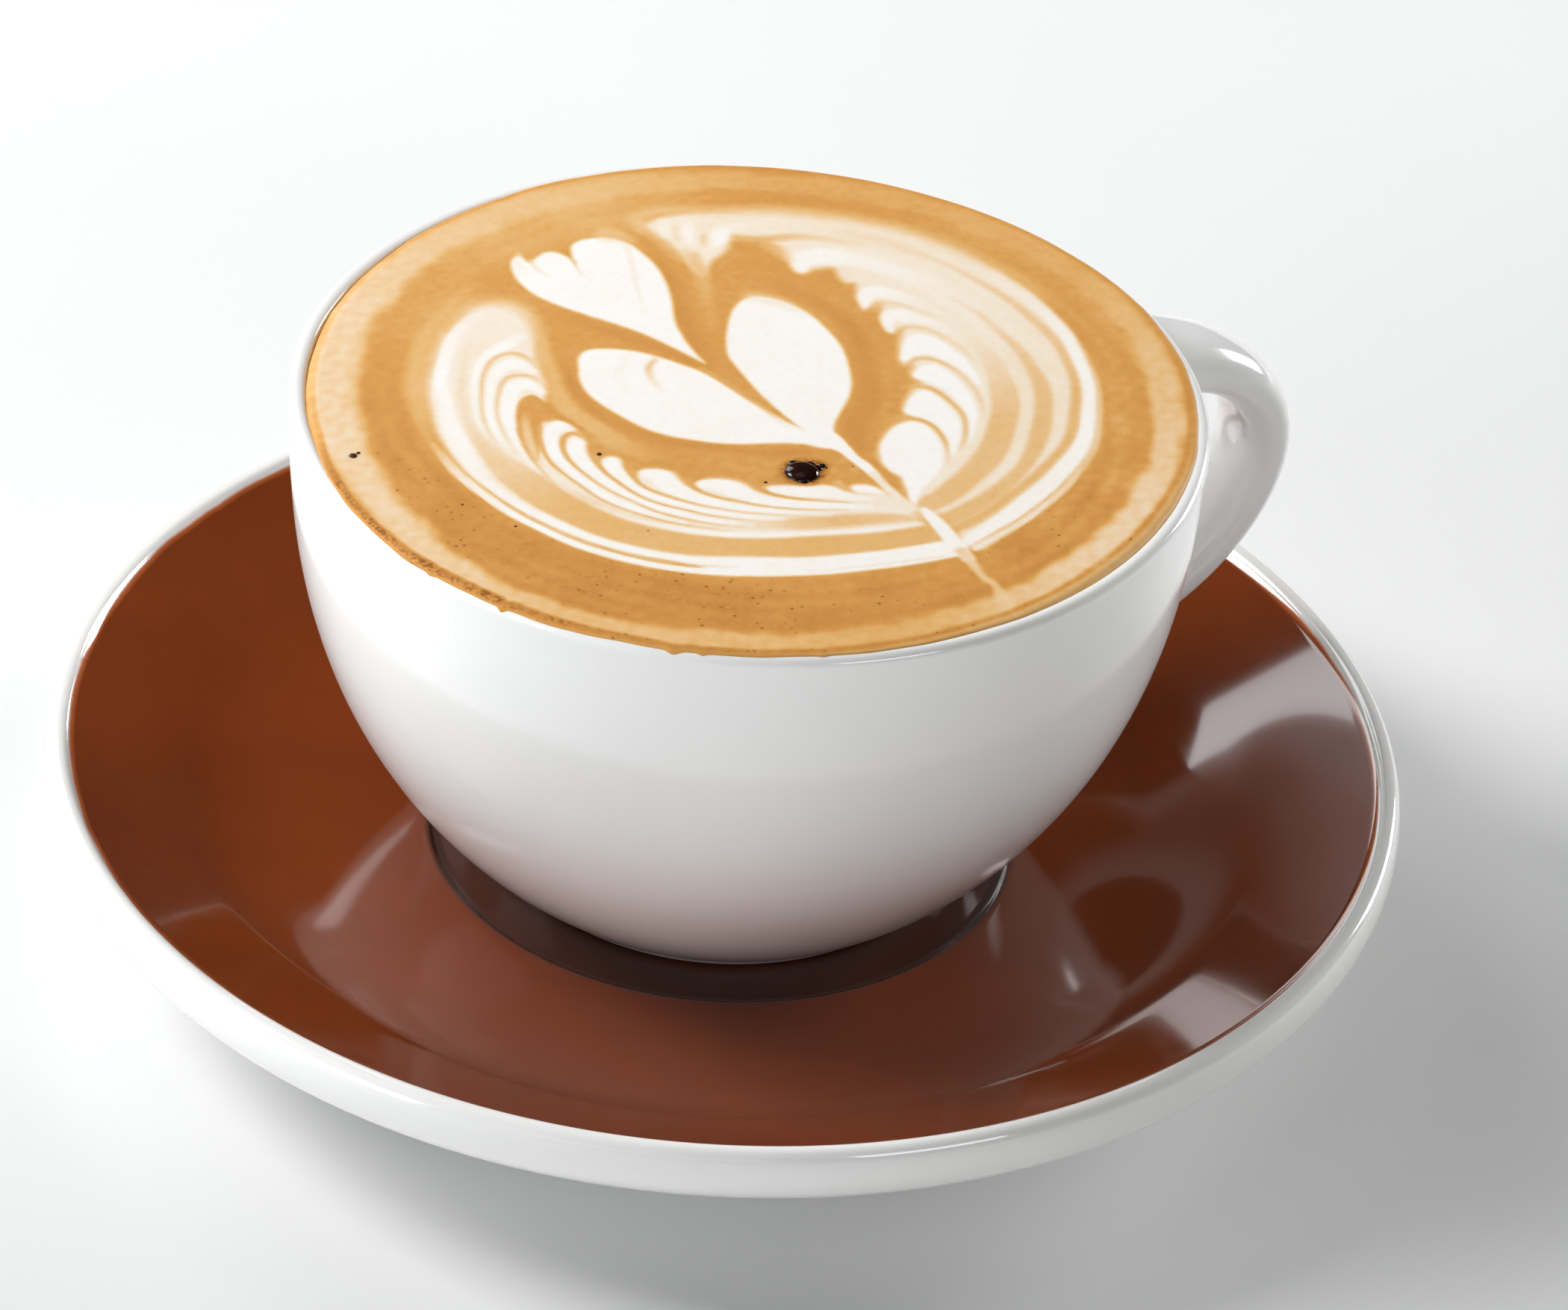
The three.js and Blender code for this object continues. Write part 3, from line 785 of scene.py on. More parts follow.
def paint_upper_wing(canvas):
    """The rosetta's far wing: its white edge, the bands and the petals on the right."""
    outer = polar([
        (-47, 36), (-40, 35.8), (-30, 35.8), (-20, 36.4), (-10, 37), (0, 37.4), (10, 37.8), (20, 38.3),
        (30, 38.8), (40, 39.3), (50, 39.7), (60, 40), (70, 39.9), (80, 39.5), (90, 38.8), (100, 38.2),
        (107, 37.6), (111, 36.6),
    ])
    scallops = [
        (-13.8, 34.2), (-12.4, 32.4), (-11, 31), (-10, 29.6), (-9, 28), (-8, 26.4), (-7, 24.6), (-6.2, 24.2),
        (-5.7, 26), (-5.2, 27.4), (-4.3, 28.6), (-3.8, 30), (-3.6, 31.6), (-2.8, 32.3), (-1.2, 32.6),
        (0.4, 32.4), (1.8, 31.4), (2.8, 29.8), (3.1, 28), (3.5, 26.8), (4.1, 26), (5, 26.1), (5.7, 26.9),
        (6.8, 27.4), (8, 27.6), (8.4, 26.8), (8.8, 25.5), (9.5, 24.7), (10.4, 24.6), (10.6, 23.4),
        (10.8, 21.8), (11.3, 20.2), (11.7, 19.3), (12.3, 20.2), (12.9, 20.9), (13.5, 20.3), (13.6, 19),
        (13.7, 17.4), (14.1, 16.2), (14.8, 14.9), (15.4, 15.6), (15.9, 15.4), (15.7, 13.5), (15.7, 11),
        (15.8, 9.4), (16.3, 8.6), (16.9, 9.1), (17.2, 8.2), (17.1, 6.8), (17.5, 5.8), (18.2, 5), (17.6, 4.2),
        (17.1, 3), (16.6, 1.2), (16.4, -0.4), (16.7, -1.5), (17.2, -2), (16.4, -3), (15.5, -4), (14.8, -5.4),
        (14.2, -7), (13.9, -8.6), (14, -10.2), (14.6, -11.8), (15.4, -12.9), (16.3, -13.6), (16.8, -15),
        (17.2, -16.5), (17.6, -18), (20.4, -22),
    ]
    canvas.fill(np.vstack([outer, scallops]), 0.7, 0.75)
    canvas.free([
        (-13.6, 33.2, 0.8, 0.8), (-14, 35, 1, 0.9), (-12.4, 36.8, 1, 0.8), (-9, 37.7, 0.9, 0.7),
        (-3, 38.5, 1, 0.7), (5, 39.1, 1.1, 0.7), (13, 37.7, 1, 0.7), (20, 34.7, 1, 0.6),
        (26.6, 29.6, 0.9, 0.5), (31, 23.6, 0.8, 0.3), (34, 17, 0.7, 0.1),
    ], 0.34, 1.1)
    canvas.free([
        (3.4, 29.6, 1, 0.5), (7, 30.2, 1.5, 0.8), (11, 29.8, 1.6, 0.7), (15, 28, 1.5, 0.6),
        (19, 25.2, 1.3, 0.5), (23, 20.4, 1.2, 0.3), (26, 15, 1, 0.1),
    ], 0.88, 0.9)
    canvas.free([(6, 35.8, 0.9, 0.2), (10, 35.2, 1, 0.5), (15, 33.4, 1, 0.5), (19, 30.8, 0.9, 0.2)], 0.5, 0.9)
    canvas.free([
        (-13.4, 33, 0.7, 0.7), (-12, 31.6, 0.7, 0.6), (-10.4, 29.6, 0.7, 0.6), (-9, 27.2, 0.7, 0.5),
    ], 0.28, 0.8)
    canvas.free([(-8.2, 28.4, 1, 0.3), (-7, 26, 0.7, 0.7), (-6.4, 24.4, 0.6, 0.9)], 0.3, 0.6)
    canvas.band([
        (-22, 36.8, 36, 0.3), (-10, 37.6, 36.6, 0.7), (0, 37.8, 37, 0.7), (10, 38.2, 37.4, 0.6),
        (22, 38.8, 38.2, 0.4),
    ], 0.45, 0.35)
    canvas.band([
        (-46, 32.8, 31.4), (-40, 32.9, 31.4), (-30, 32.9, 31.6), (-20, 33.6, 32.2), (-10, 34.6, 33.4),
        (0, 35.5, 34.1), (10, 36, 34.8), (20, 36.7, 35.5, 0.8), (30, 36.8, 35.6, 0.65),
        (40, 36.8, 35.6, 0.55), (50, 36.8, 35.8, 0.45), (58, 36.8, 36, 0.25), (66, 36.6, 36.2, 0.1),
    ], 0.22, 0.5)
    canvas.band([
        (-45, 31.6, 29), (-40, 31.5, 29.2), (-30, 31.7, 29.7), (-20, 31.9, 30.1), (-10, 32.2, 30.2),
        (0, 32.5, 30.3), (10, 32.8, 30.8, 0.9), (20, 32.5, 30.9, 0.75), (30, 32.1, 31, 0.6),
        (40, 31.9, 31.2, 0.45), (52, 31.6, 31.1, 0.15),
    ], 0.27, 0.5)
    canvas.band([
        (-43, 28.4, 25.6), (-35, 28.5, 25.3), (-30, 28.5, 25.4), (-20, 28.6, 25.4), (-10, 28.8, 25.6),
        (0, 29, 25.7), (10, 29.2, 26, 0.7), (20, 29, 26.6, 0.4), (32, 28.6, 27, 0.1),
    ], 0.28, 0.5)
    canvas.band([
        (-47, 36.4, 35.7, 0.8), (-40, 36.3, 35.5, 0.8), (-30, 36.4, 35.6, 0.8), (-22, 36.8, 36.1, 0.6),
        (-15, 37.2, 36.6, 0.3),
    ], 0.75, 0.22)
    canvas.band([
        (-48, 35.2, 34.4, 0.7), (-45, 35, 33.6), (-40, 34.9, 33.2), (-30, 35.1, 33.1), (-25, 35.4, 33.4),
        (-20, 35.8, 33.8), (-10, 36.6, 34.8), (0, 37, 35.6), (10, 37.5, 36.2), (20, 38.2, 36.8),
        (30, 38.8, 37.2, 0.8), (40, 39.3, 37.6, 0.4), (52, 39.8, 38, 0.1),
    ], 0.93, 0.3)
    canvas.line([
        (-46, 35.3, 0.6), (-40, 35.2), (-35, 35.25), (-30, 35.4), (-25, 35.65), (-20, 36), (-14, 36.5, 0.2),
    ], 0.16, 0.3, 0.18)
    canvas.band([
        (-26, 32.1, 31.8, 0.2), (-15, 32.6, 32.2, 0.5), (-10, 33.1, 32.6, 0.6), (0, 33.9, 32.9, 0.8),
        (10, 34.6, 33.5, 0.9), (20, 35.3, 34, 0.7), (30, 35.5, 34.1, 0.5), (42, 35.4, 34.2, 0.2),
    ], 0.68, 0.4)
    canvas.band([
        (-43, 29.2, 28.8, 0.3), (-31, 28.9, 28.3, 0.5), (-20, 29.4, 28.6, 0.6), (-10, 29.8, 28.7, 0.7),
        (2, 30.2, 28.9, 0.75), (13, 30.8, 29.3, 0.7), (24, 31, 29.1, 0.3),
    ], 0.66, 0.4)
    feathers = [
        [(-5.1, 30.6, 0.4), (-4.9, 32, 0.9), (-4.6, 33.6, 0.9, 0.9), (-3.6, 34.6, 0.8, 0.5),
         (-1, 35.4, 0.8, 0.1)],
        [(-8, 30.8, 0.4, 0.5), (-8.2, 32.4, 0.6, 0.7), (-8.4, 34, 0.6, 0.7), (-8.6, 35.6, 0.5, 0.2)],
        [(-10.6, 32, 0.5, 0.3), (-10.9, 33.6, 0.6, 0.5), (-11.2, 35.2, 0.5, 0.2)],
        [(4.4, 26.8, 0.6), (4.5, 28.6, 1.3), (6, 29.6, 1.5), (8.4, 29.8, 1.5, 0.9), (11, 29.3, 1.3, 0.6),
         (14, 28, 1.2, 0.3), (17, 26, 1, 0)],
        [(11.7, 20.2, 0.4), (11.7, 21.8, 0.9), (12.4, 23, 1.2), (14, 23, 1.1, 0.9), (16.6, 22, 1, 0.6),
         (19.4, 20, 0.9, 0.2)],
        [(14.6, 15.4, 0.4), (14.3, 17, 0.6), (14.8, 18.6, 1.1), (16.2, 18.6, 1.2), (18.2, 17.8, 0.9, 0.6),
         (20.5, 16.4, 0.8, 0.3), (22.5, 14.6, 0.7, 0)],
    ]
    for rows in feathers:
        canvas.free(rows, 0.93, 0.45)
    canvas.free([(-6.5, 33.2, 0.3, 0.3), (-6.6, 31.8, 0.4, 0.9), (-6.4, 30.2, 0.35, 0.5)], 0.4, 0.4)
    canvas.free([(-9.7, 34, 0.3, 0.3), (-9.6, 32, 0.35, 0.5), (-9.2, 30.6, 0.3, 0.3)], 0.45, 0.4)
    canvas.free([(0.6, 31.4, 0.9, 0.4), (1.8, 30.6, 1, 0.6), (2.8, 28.8, 0.7, 0.5)], 0.42, 0.9)
    canvas.free([
        (-3, 32.6, 0.6, 0.9), (-0.5, 32.6, 0.7, 0.9), (1.8, 33.2, 0.7, 0.8), (4, 33.7, 0.65, 0.6),
        (6.2, 33.7, 0.6, 0.5), (8.6, 33.4, 0.6, 0.3), (11, 33, 0.5, 0.1),
    ], 0.18, 0.6)
    petals = [
        [(15.9, 9.6), (15.9, 11), (16.1, 12.6), (16.5, 14), (17.1, 14.8), (18, 15.1), (19.2, 14.7),
         (20.4, 13.8), (21.5, 12.6), (22.6, 11.1), (23.5, 9.5), (24.2, 7.6), (24.6, 5.6), (23.9, 6.4),
         (23, 7.8), (21.8, 9.2), (20.6, 10.2), (19.4, 10.9), (18.2, 11), (17.2, 10.4), (16.5, 9.3)],
        [(17.3, 6.4), (17.6, 7.7), (18.2, 8.7), (19.2, 9.1), (20.2, 8.7), (21.2, 7.6), (22.2, 6.2), (23, 4.8),
         (23.7, 3), (24.2, 1), (24.4, -1.4), (24.1, -4), (23.6, -6), (23.6, -3), (23.3, -0.8), (22.6, 1.2),
         (21.7, 2.8), (20.7, 4), (19.6, 4.9), (18.3, 5.6)],
        [(16.6, -0.9), (16.7, 0.4), (17.2, 1.9), (17.9, 3), (18.7, 3.5), (19.5, 3.1), (20.3, 2.2),
         (21.1, 1.1), (21.9, -0.2), (22.4, -1.6), (22.7, -3.4), (22.6, -5.4), (22.3, -7.5), (21.7, -9.8),
         (21.4, -8), (21.5, -6.6), (20.9, -4.8), (20, -3.1), (18.9, -2.1), (17.6, -1.7)],
        [(14.2, -9.4), (14.1, -8), (14.5, -6.5), (15.1, -5), (15.9, -3.8), (16.7, -3.05), (17.5, -2.8),
         (18.5, -3.1), (19.4, -4.1), (20.1, -5.5), (20.7, -7), (20.95, -9), (20.8, -11), (20.2, -12.8),
         (19.5, -14.2), (18.8, -15.6), (18.4, -17), (18.2, -18.6), (17.7, -18.2), (17.3, -16.5), (16.9, -15),
         (16.5, -13.7), (15.6, -12.9), (14.9, -11.9), (14.4, -10.7)],
    ]
    for outline in petals:
        canvas.fill(outline, 0.97, 0.35)
    canvas.free([
        (21.6, -9.4, 0.3, 0.5), (21.2, -11.6, 0.4, 0.6), (20.4, -13.8, 0.5, 0.5), (19.4, -16, 0.5, 0.3),
    ], 0.75, 0.5)
    canvas.free([
        (15.4, -2.5, 0.6, 0.2), (16.3, -2.2, 0.45, 0.8), (17.4, -2.1, 0.4), (18.7, -2.5, 0.36),
        (19.8, -3.6, 0.32), (20.6, -5.1, 0.28), (21.2, -7, 0.24, 0.8), (21.5, -9, 0.24, 0.4),
        (21.4, -10.8, 0.24, 0.1),
    ], 0.16, 0.25)
    canvas.free([
        (16.4, 4, 0.5, 0.3), (17.7, 4.25, 0.4), (18.9, 4.2, 0.4), (20, 3.5, 0.34), (21, 2.4, 0.32),
        (22, 1, 0.3), (22.8, -0.7, 0.3, 0.9), (23.1, -2.7, 0.3, 0.8), (23.1, -5, 0.3, 0.6),
        (22.7, -7.5, 0.3, 0.2),
    ], 0.2, 0.28)
    canvas.free([
        (16.5, 8.3, 0.3, 0.3), (17, 9.3, 0.34, 0.9), (17.7, 10, 0.36), (18.7, 10.3, 0.36, 0.9),
        (19.8, 10, 0.34, 0.9), (20.9, 9.2, 0.32, 0.8), (22, 8, 0.3, 0.7), (23.2, 6.3, 0.3, 0.6),
        (24.2, 4.2, 0.3, 0.6), (24.8, 2, 0.3, 0.5), (25, -0.5, 0.3, 0.2),
    ], 0.3, 0.3)
    canvas.free([
        (15.3, 14.7, 0.3, 0.3), (15.7, 15.7, 0.32, 0.9), (16.6, 16.4, 0.34, 0.7), (18, 16.3, 0.36, 0.6),
        (19.6, 15.5, 0.36, 0.5), (21.2, 14.2, 0.36, 0.4), (22.8, 12.4, 0.36, 0.3), (24, 10.2, 0.36, 0.1),
    ], 0.3, 0.35)
    canvas.free([
        (12.8, 19.3, 0.4, 0.3), (12.9, 20.5, 0.35, 0.9), (13.8, 21, 0.34, 0.6), (15.4, 21, 0.36, 0.5),
        (17.4, 20.2, 0.36, 0.3), (19.6, 18.8, 0.36, 0.1),
    ], 0.35, 0.4)


def paint_tulip(canvas):
    """The heart and the two lobes in the middle, with the coffee moats round them."""
    moats = [
        [(2, 23, 0.8, 0.4), (8, 18.6, 1.1), (11.2, 13, 1.1), (12.4, 6, 1.2), (12.4, 0, 1.4), (11.4, -5, 1.3),
         (12.2, -9, 0.8)],
        [(-12.5, 29, 0.6, 0.3), (-10, 23, 1), (-8.6, 17, 1.1), (-7, 11.5, 1), (-4.6, 6, 0.7, 0.6)],
        [(-20.5, 4, 0.7, 0.5), (-19, -1, 0.8), (-15.6, -6.2, 0.9), (-9, -10, 0.8), (0, -11, 0.7),
         (6, -10.5, 0.8)],
        [(-21, 13.4, 0.9, 0.4), (-15, 10.6, 0.9), (-9, 7.4, 0.7), (-5, 4.6, 0.5)],
    ]
    for rows in moats:
        canvas.free(rows, -0.12, 0.9)
    canvas.free([
        (-7.4, 28, 0.7, 0.7), (-6.4, 24, 0.8, 0.6), (-5.6, 19, 0.7, 0.4), (-4.6, 13, 0.6, 0.1),
    ], 0.3, 0.7)
    heart = [
        (-20.6, 25.2), (-20.9, 28), (-19.8, 29.6), (-17.2, 30.4), (-14.8, 29.6), (-13, 27.4), (-11.3, 24.8),
        (-10.2, 22), (-9.6, 19), (-9.2, 16), (-8.6, 13), (-7.4, 9.8), (-6, 7.2), (-5.2, 5.8), (-7, 7.2),
        (-10, 9.4), (-13, 11.4), (-16, 12.9), (-19, 14.2), (-22, 15.8), (-24.5, 17.7), (-26.3, 20),
        (-27.1, 22.5), (-27.2, 24.4), (-26.5, 25.2), (-25.4, 24), (-24.7, 25), (-23.8, 26.3), (-22.6, 26.6),
        (-21.3, 25.8),
    ]
    canvas.fill(heart, 0.98, 0.4)
    canvas.free([(-26.6, 25.8, 0.3, 0.4), (-26.4, 23.6, 0.5, 0.4), (-25.4, 21.5, 0.5, 0.1)], 0.7, 0.5)
    canvas.free([(-25.2, 24.4, 0.25, 0.9), (-24.4, 22.8, 0.25, 0.5), (-22.6, 20.8, 0.3, 0.1)], 0.4, 0.3)
    canvas.free([(-20.5, 25, 0.3, 1), (-20.2, 23.8, 0.2, 0.6), (-19.2, 21.8, 0.3, 0.1)], 0.3, 0.25)
    canvas.free([
        (-14.9, 29, 0.4, 0.6), (-14.2, 25.5, 0.35, 0.6), (-13.2, 20, 0.3, 0.5), (-12.4, 15, 0.3, 0.2),
    ], 0.72, 0.3)
    canvas.free([(-17, 31, 1.6, 0.5), (-15, 30.4, 1, 0.5)], 0.45, 0.7)
    left = [
        (-18.8, 3), (-18.8, 5), (-18, 6.6), (-16, 7.3), (-13, 7.2), (-10.4, 6.4), (-8, 5.3), (-6, 4.2),
        (-4, 2.8), (-2, 1), (0, -1), (3, -4), (6, -6), (8.6, -7), (9.4, -8.4), (8.2, -9.4), (6, -8.9),
        (3, -9), (-1, -9.7), (-4, -9.9), (-7.5, -9.4), (-10.5, -8.2), (-13, -6.5), (-15.3, -4.5), (-17.3, -2),
        (-18.5, 0.5),
    ]
    canvas.fill(left, 0.96, 0.35)
    canvas.free([
        (-10.7, 5.8, 0.3, 0.9), (-11.2, 4.2, 0.45, 0.9), (-10.8, 2.2, 0.4, 0.6), (-9.6, -0.4, 0.4, 0.1),
    ], 0.35, 0.35)
    canvas.free([(-13.5, 6.6, 0.5, 0.3), (-14.2, 3, 0.5, 0.4), (-13.2, -1, 0.5, 0.2)], 0.8, 0.6)
    right = [
        (0, 20.4), (-1.6, 19.4), (-2.6, 17), (-3.1, 14), (-3.2, 11), (-2.6, 7.5), (-1.2, 4.5), (0.4, 1.6),
        (2.2, -1.4), (4.4, -4.4), (7, -7), (9.6, -8), (9.1, -6), (9.2, -4), (9.8, -1.5), (10.5, 2),
        (10.6, 5.5), (10, 9), (8.8, 12.5), (7, 15.6), (5, 18), (2.6, 19.8),
    ]
    canvas.fill(right, 0.97, 0.35)
    canvas.free([(-0.6, 20.2, 1, 0.5), (2.4, 19.4, 1, 0.5), (5, 17.4, 0.7, 0.3)], 0.6, 0.8)
    canvas.free([
        (-5.6, 4.6, 0.35), (-3.4, 2.6, 0.45), (-1.4, 0.6, 0.4), (0.4, -1.4, 0.3, 0.8), (2.2, -3.6, 0.25, 0.5),
        (4.6, -6, 0.25, 0.1),
    ], 0.1, 0.28)
    for x, y, lean in ((1.2, 16, 0.5), (4, 16.4, 0.7), (6.6, 13, 0.6)):
        rows = [(x, y, 0.15, 0.1), (x + lean, y - 7, 0.3, 0.35), (x + 2 * lean, y - 15, 0.2, 0.1)]
        canvas.free(rows, 0.86, 0.35)


def paint_stem(canvas):
    """The thin stem through the near wing and the dark pool under the bubbles."""
    canvas.free([
        (11.6, -19.7, 0.6, 0.2), (14.4, -18.9, 0.8, 0.6), (16.6, -18.8, 0.9, 0.9), (18, -19.8, 0.8, 0.8),
        (19.2, -21.2, 0.5, 0.4),
    ], 0.66, 0.6)
    canvas.free([
        (8.4, -7.6, 1.6), (10, -9, 0.85), (11.3, -10.7, 0.62), (12.6, -12.1, 0.66), (13.7, -13.7, 0.55),
    ], 0.95, 0.2)
    canvas.free([
        (13.7, -13.7, 0.55), (14.5, -15.2, 0.5), (15.5, -16.8, 0.6), (16.6, -18.4, 0.7), (17.6, -19.6, 0.7),
    ], 0.7, 0.25)
    canvas.free([
        (13, -10.4, 0.3, 0.8), (14.2, -12.2, 0.32, 0.9), (15.1, -13.5, 0.34, 0.9), (15.8, -14.6, 0.3, 0.8),
        (16.4, -16, 0.2, 0.3),
    ], -0.05, 0.25)
    canvas.free([(20.5, -20, 0.4, 0.2), (22, -22.8, 0.5, 0.5), (22.9, -24.6, 0.3, 0.2)], 0.1, 0.3)
    canvas.free([
        (19.2, -19.7, 0.4), (20, -21.2, 0.75), (21, -23.1, 0.88), (22, -25, 0.9), (22.9, -26.6, 0.85),
        (23.8, -28.2, 0.7, 0.8),
    ], 0.95, 0.3)
    canvas.free([
        (23.2, -27, 0.8), (24.1, -28.8, 0.6, 0.9), (24.9, -30.5, 0.42, 0.8), (25.5, -31.7, 0.42, 0.8),
        (26.6, -32.7, 0.45, 0.75), (27.3, -34.2, 0.6, 0.6), (27.8, -35.8, 0.9, 0.4), (28, -37, 0.8, 0.1),
    ], 0.52, 0.4)
    canvas.free([(6.1, -14.2, 2.5), (7.6, -13, 1.2)], -0.5, 0.5)


# Where the wet edge lies round the lip: 90 is the crest, more is inside it, less is outside it
WET_EDGE = {
    0: 112, 30: 73, 60: 66, 90: 74, 120: 104, 150: 150, 180: 160, 197: 130, 212: 70, 225: 46, 245: 48,
    262: 62, 280: 80, 300: 104, 330: 138,
}
EDGE_WAVES = ((17, 2.5, 0.4), (31, 1.5, 1.7), (53, 1, 2.9))  # waves round the cup, size, shift
EDGE_LIMITS = (12, 168)
EDGE_SKIN, EDGE_ROUNDING = 0.03, 1.5
# Drips on the outer side of the lip: angle, half width and run, in degrees
DRIPS = ((241, 0.5, 26), (263, 0.9, 24), (266.5, 0.5, 12), (230, 0.6, 10), (281, 0.6, 8))


def wet_edge(angle):
    """Radius and height of the drink's edge on the lip, by direction in the picture."""
    degrees = np.degrees(angle) % 360
    rise = around(angle, WET_EDGE)
    for waves, size, shift in EDGE_WAVES:
        rise = rise + size * np.sin(waves * angle + shift)
    for place, half, run in DRIPS:
        rise = rise - run * np.exp(-(((degrees - place) / half) ** 2))
    return lip_point(np.radians(np.clip(rise, *EDGE_LIMITS)), LIP_RADIUS + EDGE_SKIN)


def foam_level(radius):
    return FOAM_LEVEL + FOAM_CROWN * (1 - (radius / FOAM_RADIUS) ** 2)


def foam_mesh():
    """Rings of triangles out to the wet edge, then a plain body down the inside of the cup."""
    points, starts = [(0, 0, foam_level(0))], [0]
    for ring in range(1, FOAM_RINGS + 1):
        count = 6 * ring
        angle = np.arange(count) * 2 * math.pi / count
        edge_radius, edge_height = wet_edge(angle + VIEW_TURN)
        radius = edge_radius * ring / FOAM_RINGS
        inward = np.clip((edge_radius - radius) / EDGE_ROUNDING, 0, 1)
        height = edge_height + (foam_level(radius) - edge_height) * np.sqrt(1 - (1 - inward) ** 2)
        starts.append(len(points))
        points += list(zip(radius * np.cos(angle), radius * np.sin(angle), height))
    faces = [(0, 1 + a, 1 + b) for a, b in steps_round(6)]
    for ring in range(1, FOAM_RINGS):
        inner, outer = starts[ring], starts[ring + 1]
        few, many = 6 * ring, 6 * (ring + 1)
        for sector in range(6):
            for step in range(ring + 1):
                a = inner + (sector * ring + step) % few
                b = outer + sector * (ring + 1) + step
                c = outer + (sector * (ring + 1) + step + 1) % many
                faces.append((a, b, c))
                if step < ring:
                    faces.append((a, c, inner + (sector * ring + step + 1) % few))
    walls = [(LIP_CENTRE - 0.2, LIP_HEIGHT - 0.3)]
    walls += [(cavity_radius(depth) + WALL_OVERLAP, LIP_HEIGHT - depth) for depth in WALL_DEPTHS]
    above = starts[FOAM_RINGS]
    for radius, height in walls:
        below = len(points)
        points += list(zip(radius * np.cos(angle), radius * np.sin(angle), np.full(count, height)))
        faces += [(above + a, below + a, below + b, above + b) for a, b in steps_round(count)]
        above = below
    points.append((0, 0, LIP_HEIGHT - CAVITY_DEPTH - WALL_OVERLAP))
    faces += [(above + a, len(points) - 1, above + b) for a, b in steps_round(count)]
    return points, faces


def paint_edge(canvas, x, y):
    """The golden film, lightened on the right as painted light, and the dried dark line where the foam meets
    the lip.
    """
    angle = np.arctan2(y, x)
    edge, _ = wet_edge(angle)
    inward = edge - np.hypot(x, y)
    crease = around(angle, {
        0: 0.9, 30: 0.4, 190: 0.5, 212: 0.6, 230: 0.72, 250: 0.7, 275: 0.7, 300: 1.1, 322: 1.5, 340: 1.4,
    })
    film = around(angle, {0: 0.4, 30: 0, 190: 0, 206: 0.8, 330: 0.8})
    # Painted light: the film's tone is raised on the right and near right, offsetting the shade where the
    # foam curves down to the lip.
    golden = around(angle, {0: 0.24, 200: 0.06, 255: 0.1, 300: 0.24})
    canvas.lay(golden, film * smooth(crease, crease - 0.4, inward))
    line = around(angle, {
        0: 0.5, 30: 0.3, 60: 0.4, 90: 0.7, 120: 0.7, 150: 0.4, 180: 0.5, 205: 0.8, 220: 1, 245: 1, 270: 0.8,
        330: 0.7,
    })
    shade = around(angle, {0: -0.24, 195: -0.2, 212: -0.5, 238: -0.56, 256: -0.34, 300: -0.28, 330: -0.34})
    thick = around(angle, {0: 0.24, 30: 0.4, 190: 0.4, 215: 0.4, 236: 0.5, 252: 0.34, 300: 0.26})
    broken = 0.8 + 0.2 * np.sin(61 * angle) * np.sin(97 * angle + 1)
    canvas.lay(shade, line * broken * smooth(thick + 0.3, thick - 0.15, np.abs(inward - crease)))


def make_drink(material):
    drink = add_piece("latte_foam", *foam_mesh(), material, "crema", "drink")
    place = np.array([v.co for v in drink.data.vertices]) / MM
    x, y = to_view(place[:, 0], place[:, 1])
    canvas = Canvas(
        x + 0.1 * np.sin(0.6 * y + 0.5) * np.sin(0.4 * x),
        y + 0.1 * np.sin(0.5 * x + 1.2) * np.sin(0.45 * y),
    )
    for paint in (paint_surroundings, paint_lower_wing, paint_upper_wing, paint_tulip, paint_stem):
        paint(canvas)
    paint_edge(canvas, x, y)
    set_values(drink, "milk", (canvas.tone - TONE_LOW) / (TONE_HIGH - TONE_LOW))


# Dark wet bubbles and specks lying in the foam: (right, away, radius)
BUBBLES = (
    (5.95, -14.4, 1.85), (5.1, -13, 0.75), (6.7, -12.9, 0.7), (4.7, -14.8, 0.5), (6.2, -15.9, 0.6),
    (7.2, -14.6, 0.6), (7.5, -13.4, 0.6), (8.05, -12.8, 0.4),
)
SPECKS = (
    (-15.6, -13.7, 0.3), (-41.4, -17.2, 0.46), (-40.9, -16.6, 0.24), (-29.3, -25.1, 0.14),
    (-23.5, -28.5, 0.16), (2.2, -16.8, 0.2), (-9.7, -27.6, 0.1), (11.3, -12.4, 0.1), (8.5, -13.1, 0.18),
)


def domes(places, lift, sides):
    """Low domes sunk a little into the foam."""
    points, faces = [], []
    section = [(0, -0.2)]
    section += [(math.cos(t), lift * math.sin(t)) for t in np.linspace(-0.25, math.pi / 2, 12)[:-1]]
    section += [(0, lift)]
    unit, unit_faces = turned(section, sides)
    for x, y, radius in places:
        start = len(points)
        points += list(unit * radius + [*from_view(x, y), foam_level(math.hypot(x, y))])
        faces += [tuple(start + i for i in face) for face in unit_faces]
    return points, faces


def bubble_material(name, colour, roughness):
    material, tree = new_material(name)
    cloud = noise_node(tree, 900)
    paler = [BUBBLE_PALING * value for value in colour]
    return dress(material, {
        "Base Color": ramp_node(tree, cloud, [(0.3, srgb(*colour)), (0.7, srgb(*paler))]),
        "Roughness": mapped(tree, cloud, *NOISE_SPAN, roughness, roughness + 0.08),
        "Normal": bump_node(tree, noise_node(tree, 2500), 0.1, 0.0001),
        "IOR": 1.35,
    })


def make_bubbles():
    wet = bubble_material("wet_coffee", (26, 12, 9), 0.04)
    add_piece("coffee_bubbles", *domes(BUBBLES, 0.4, 32), wet, "crema")
    dry = bubble_material("coffee_grounds", (52, 26, 14), 0.3)
    add_piece("coffee_specks", *domes(SPECKS, 0.35, 14), dry, "crema")


# Stage

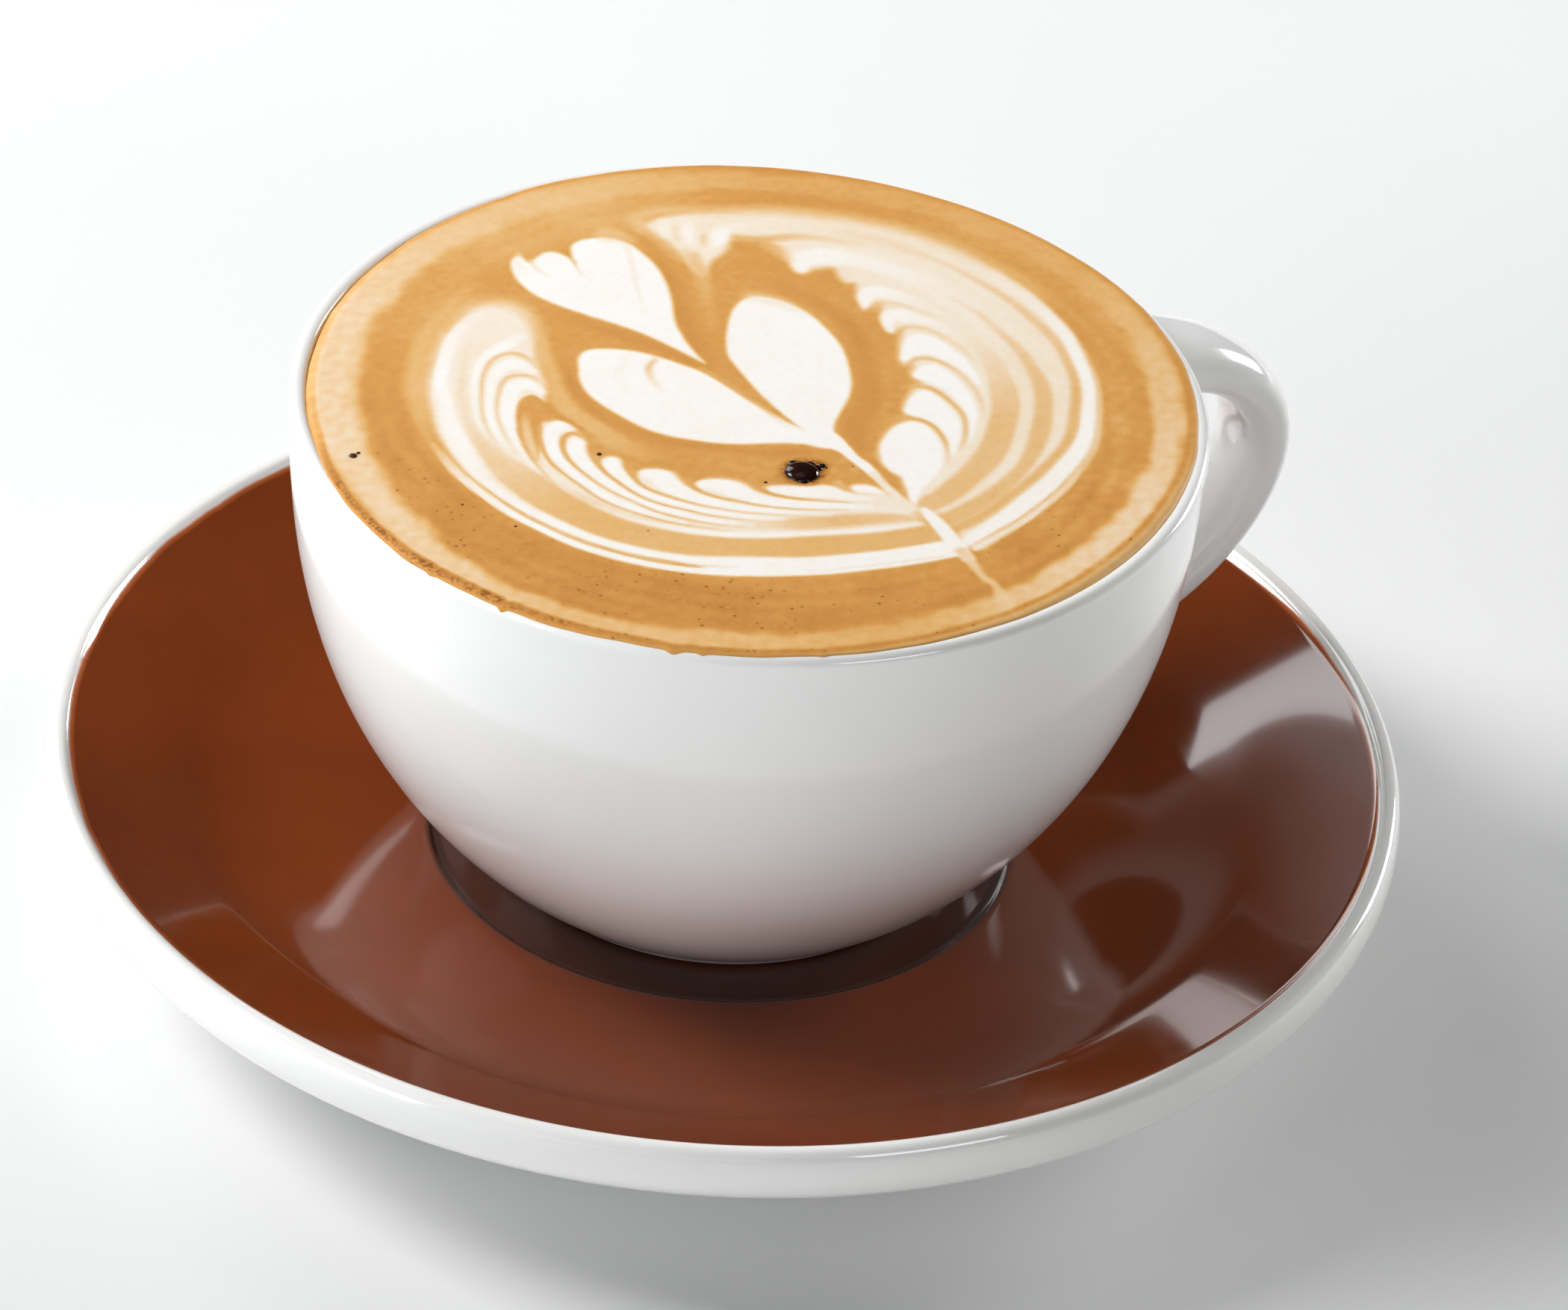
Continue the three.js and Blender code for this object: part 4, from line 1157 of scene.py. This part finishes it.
def make_floor():
    material, tree = new_material("pale_floor")
    tints = [(0.3, srgb(229, 229, 229)), (0.7, srgb(232, 232, 232))]
    dress(material, {"Base Color": ramp_node(tree, noise_node(tree, 6), tints), "Roughness": 0.9})
    near, far = -FLOOR_REACH, FLOOR_REACH
    corners = [(near, near, 0), (far, near, 0), (far, far, 0), (near, far, 0)]
    floor = add_mesh("floor", corners, [(0, 1, 2, 3)])
    floor.data.materials.append(material)
    floor.location.z = -FLOOR_DROP * MM


# Soft square lamps: name, place, target, size, power and tint. Places are (right, away, up) in metres as
# seen in the picture.
WHITE, COOL, COOLER = (1, 1, 1), (0.93, 0.98, 1), (0.92, 0.98, 1)
LAMPS = (
    ("key", (-0.86, 0.2, 0.72), (0, 0, 0.05), (0.5, 0.5), 12.3, WHITE),
    ("front_left", (-0.95, -0.62, 0.24), (0, 0, 0.04), (0.6, 0.4), 5.7, COOLER),
    ("front_fill", (-0.17, -1.1, 0.27), (0, 0, 0.05), (0.9, 0.3), 0.7, WHITE),
    ("front_right", (0.7, -0.95, 0.55), (0.03, 0, 0.05), (0.5, 0.3), 2.9, WHITE),
    ("top", (-0.1, 0.15, 1.1), (0, 0, 0.05), (0.6, 0.6), 0.6, WHITE),
    ("back_right", (0.85, 0.75, 0.3), (0.05, 0.03, 0.05), (0.4, 0.3), 9.6, WHITE),
    ("back_left", (-0.54, 0.84, 0.5), (0.06, 0, 0.015), (0.44, 0.58), 3.6, COOL),
)
SKY_STRENGTH = 0.03


def make_lights():
    world = bpy.data.worlds.new("studio")
    bpy.context.scene.world = world
    world.use_nodes = True
    sky = world.node_tree.nodes["Background"]
    sky.inputs["Color"].default_value = (1, 1, 1, 1)
    sky.inputs["Strength"].default_value = SKY_STRENGTH
    for name, (right, away, up), target, size, power, tint in LAMPS:
        light = bpy.data.lights.new(name, "AREA")
        light.shape = "RECTANGLE"
        light.size, light.size_y = size
        light.energy = power
        light.color = tint
        lamp = add_object(name, light)
        lamp.location = (*from_view(right, away), up)
        aim = Vector((*from_view(*target[:2]), target[2])) - lamp.location
        lamp.rotation_euler = aim.to_track_quat("-Z", "Y").to_euler()


# The picture's viewpoint, round the centre of the saucer's rim
RIM_CENTRE = Vector((0, 0, 18.5))
CAMERA_ELEVATION, CAMERA_ROLL = math.radians(35.009), math.radians(4.464)
CAMERA_DISTANCE = 868
AIM_RIGHT, AIM_UP = 5.69, 13.71
SENSOR_WIDTH, LENS = 36, 180


def make_camera():
    """A long lens aimed beside the centre of the saucer's rim and rolled a little."""
    x, y = from_view(0, -CAMERA_DISTANCE * math.cos(CAMERA_ELEVATION))
    location = RIM_CENTRE + Vector((x, y, CAMERA_DISTANCE * math.sin(CAMERA_ELEVATION)))
    aim = RIM_CENTRE + Vector((*from_view(AIM_RIGHT, 0), AIM_UP))
    forward = (aim - location).normalized()
    right = forward.cross(Vector((0, 0, 1))).normalized()
    up = right.cross(forward)
    tilted_right = right * math.cos(CAMERA_ROLL) + up * math.sin(CAMERA_ROLL)
    tilted_up = up * math.cos(CAMERA_ROLL) - right * math.sin(CAMERA_ROLL)
    camera = add_object("camera", bpy.data.cameras.new("camera"))
    camera.data.sensor_width = SENSOR_WIDTH
    camera.data.lens = LENS
    camera.data.clip_start = 0.01
    turn = Matrix((tilted_right, tilted_up, -forward)).transposed().to_4x4()
    camera.matrix_world = Matrix.Translation(location * MM) @ turn
    bpy.context.scene.camera = camera


make_camera()
make_saucer(saucer_material())
make_cup(porcelain_material())
make_drink(foam_material())
make_bubbles()
make_floor()
make_lights()
bpy.context.scene.view_settings.view_transform = "Standard"
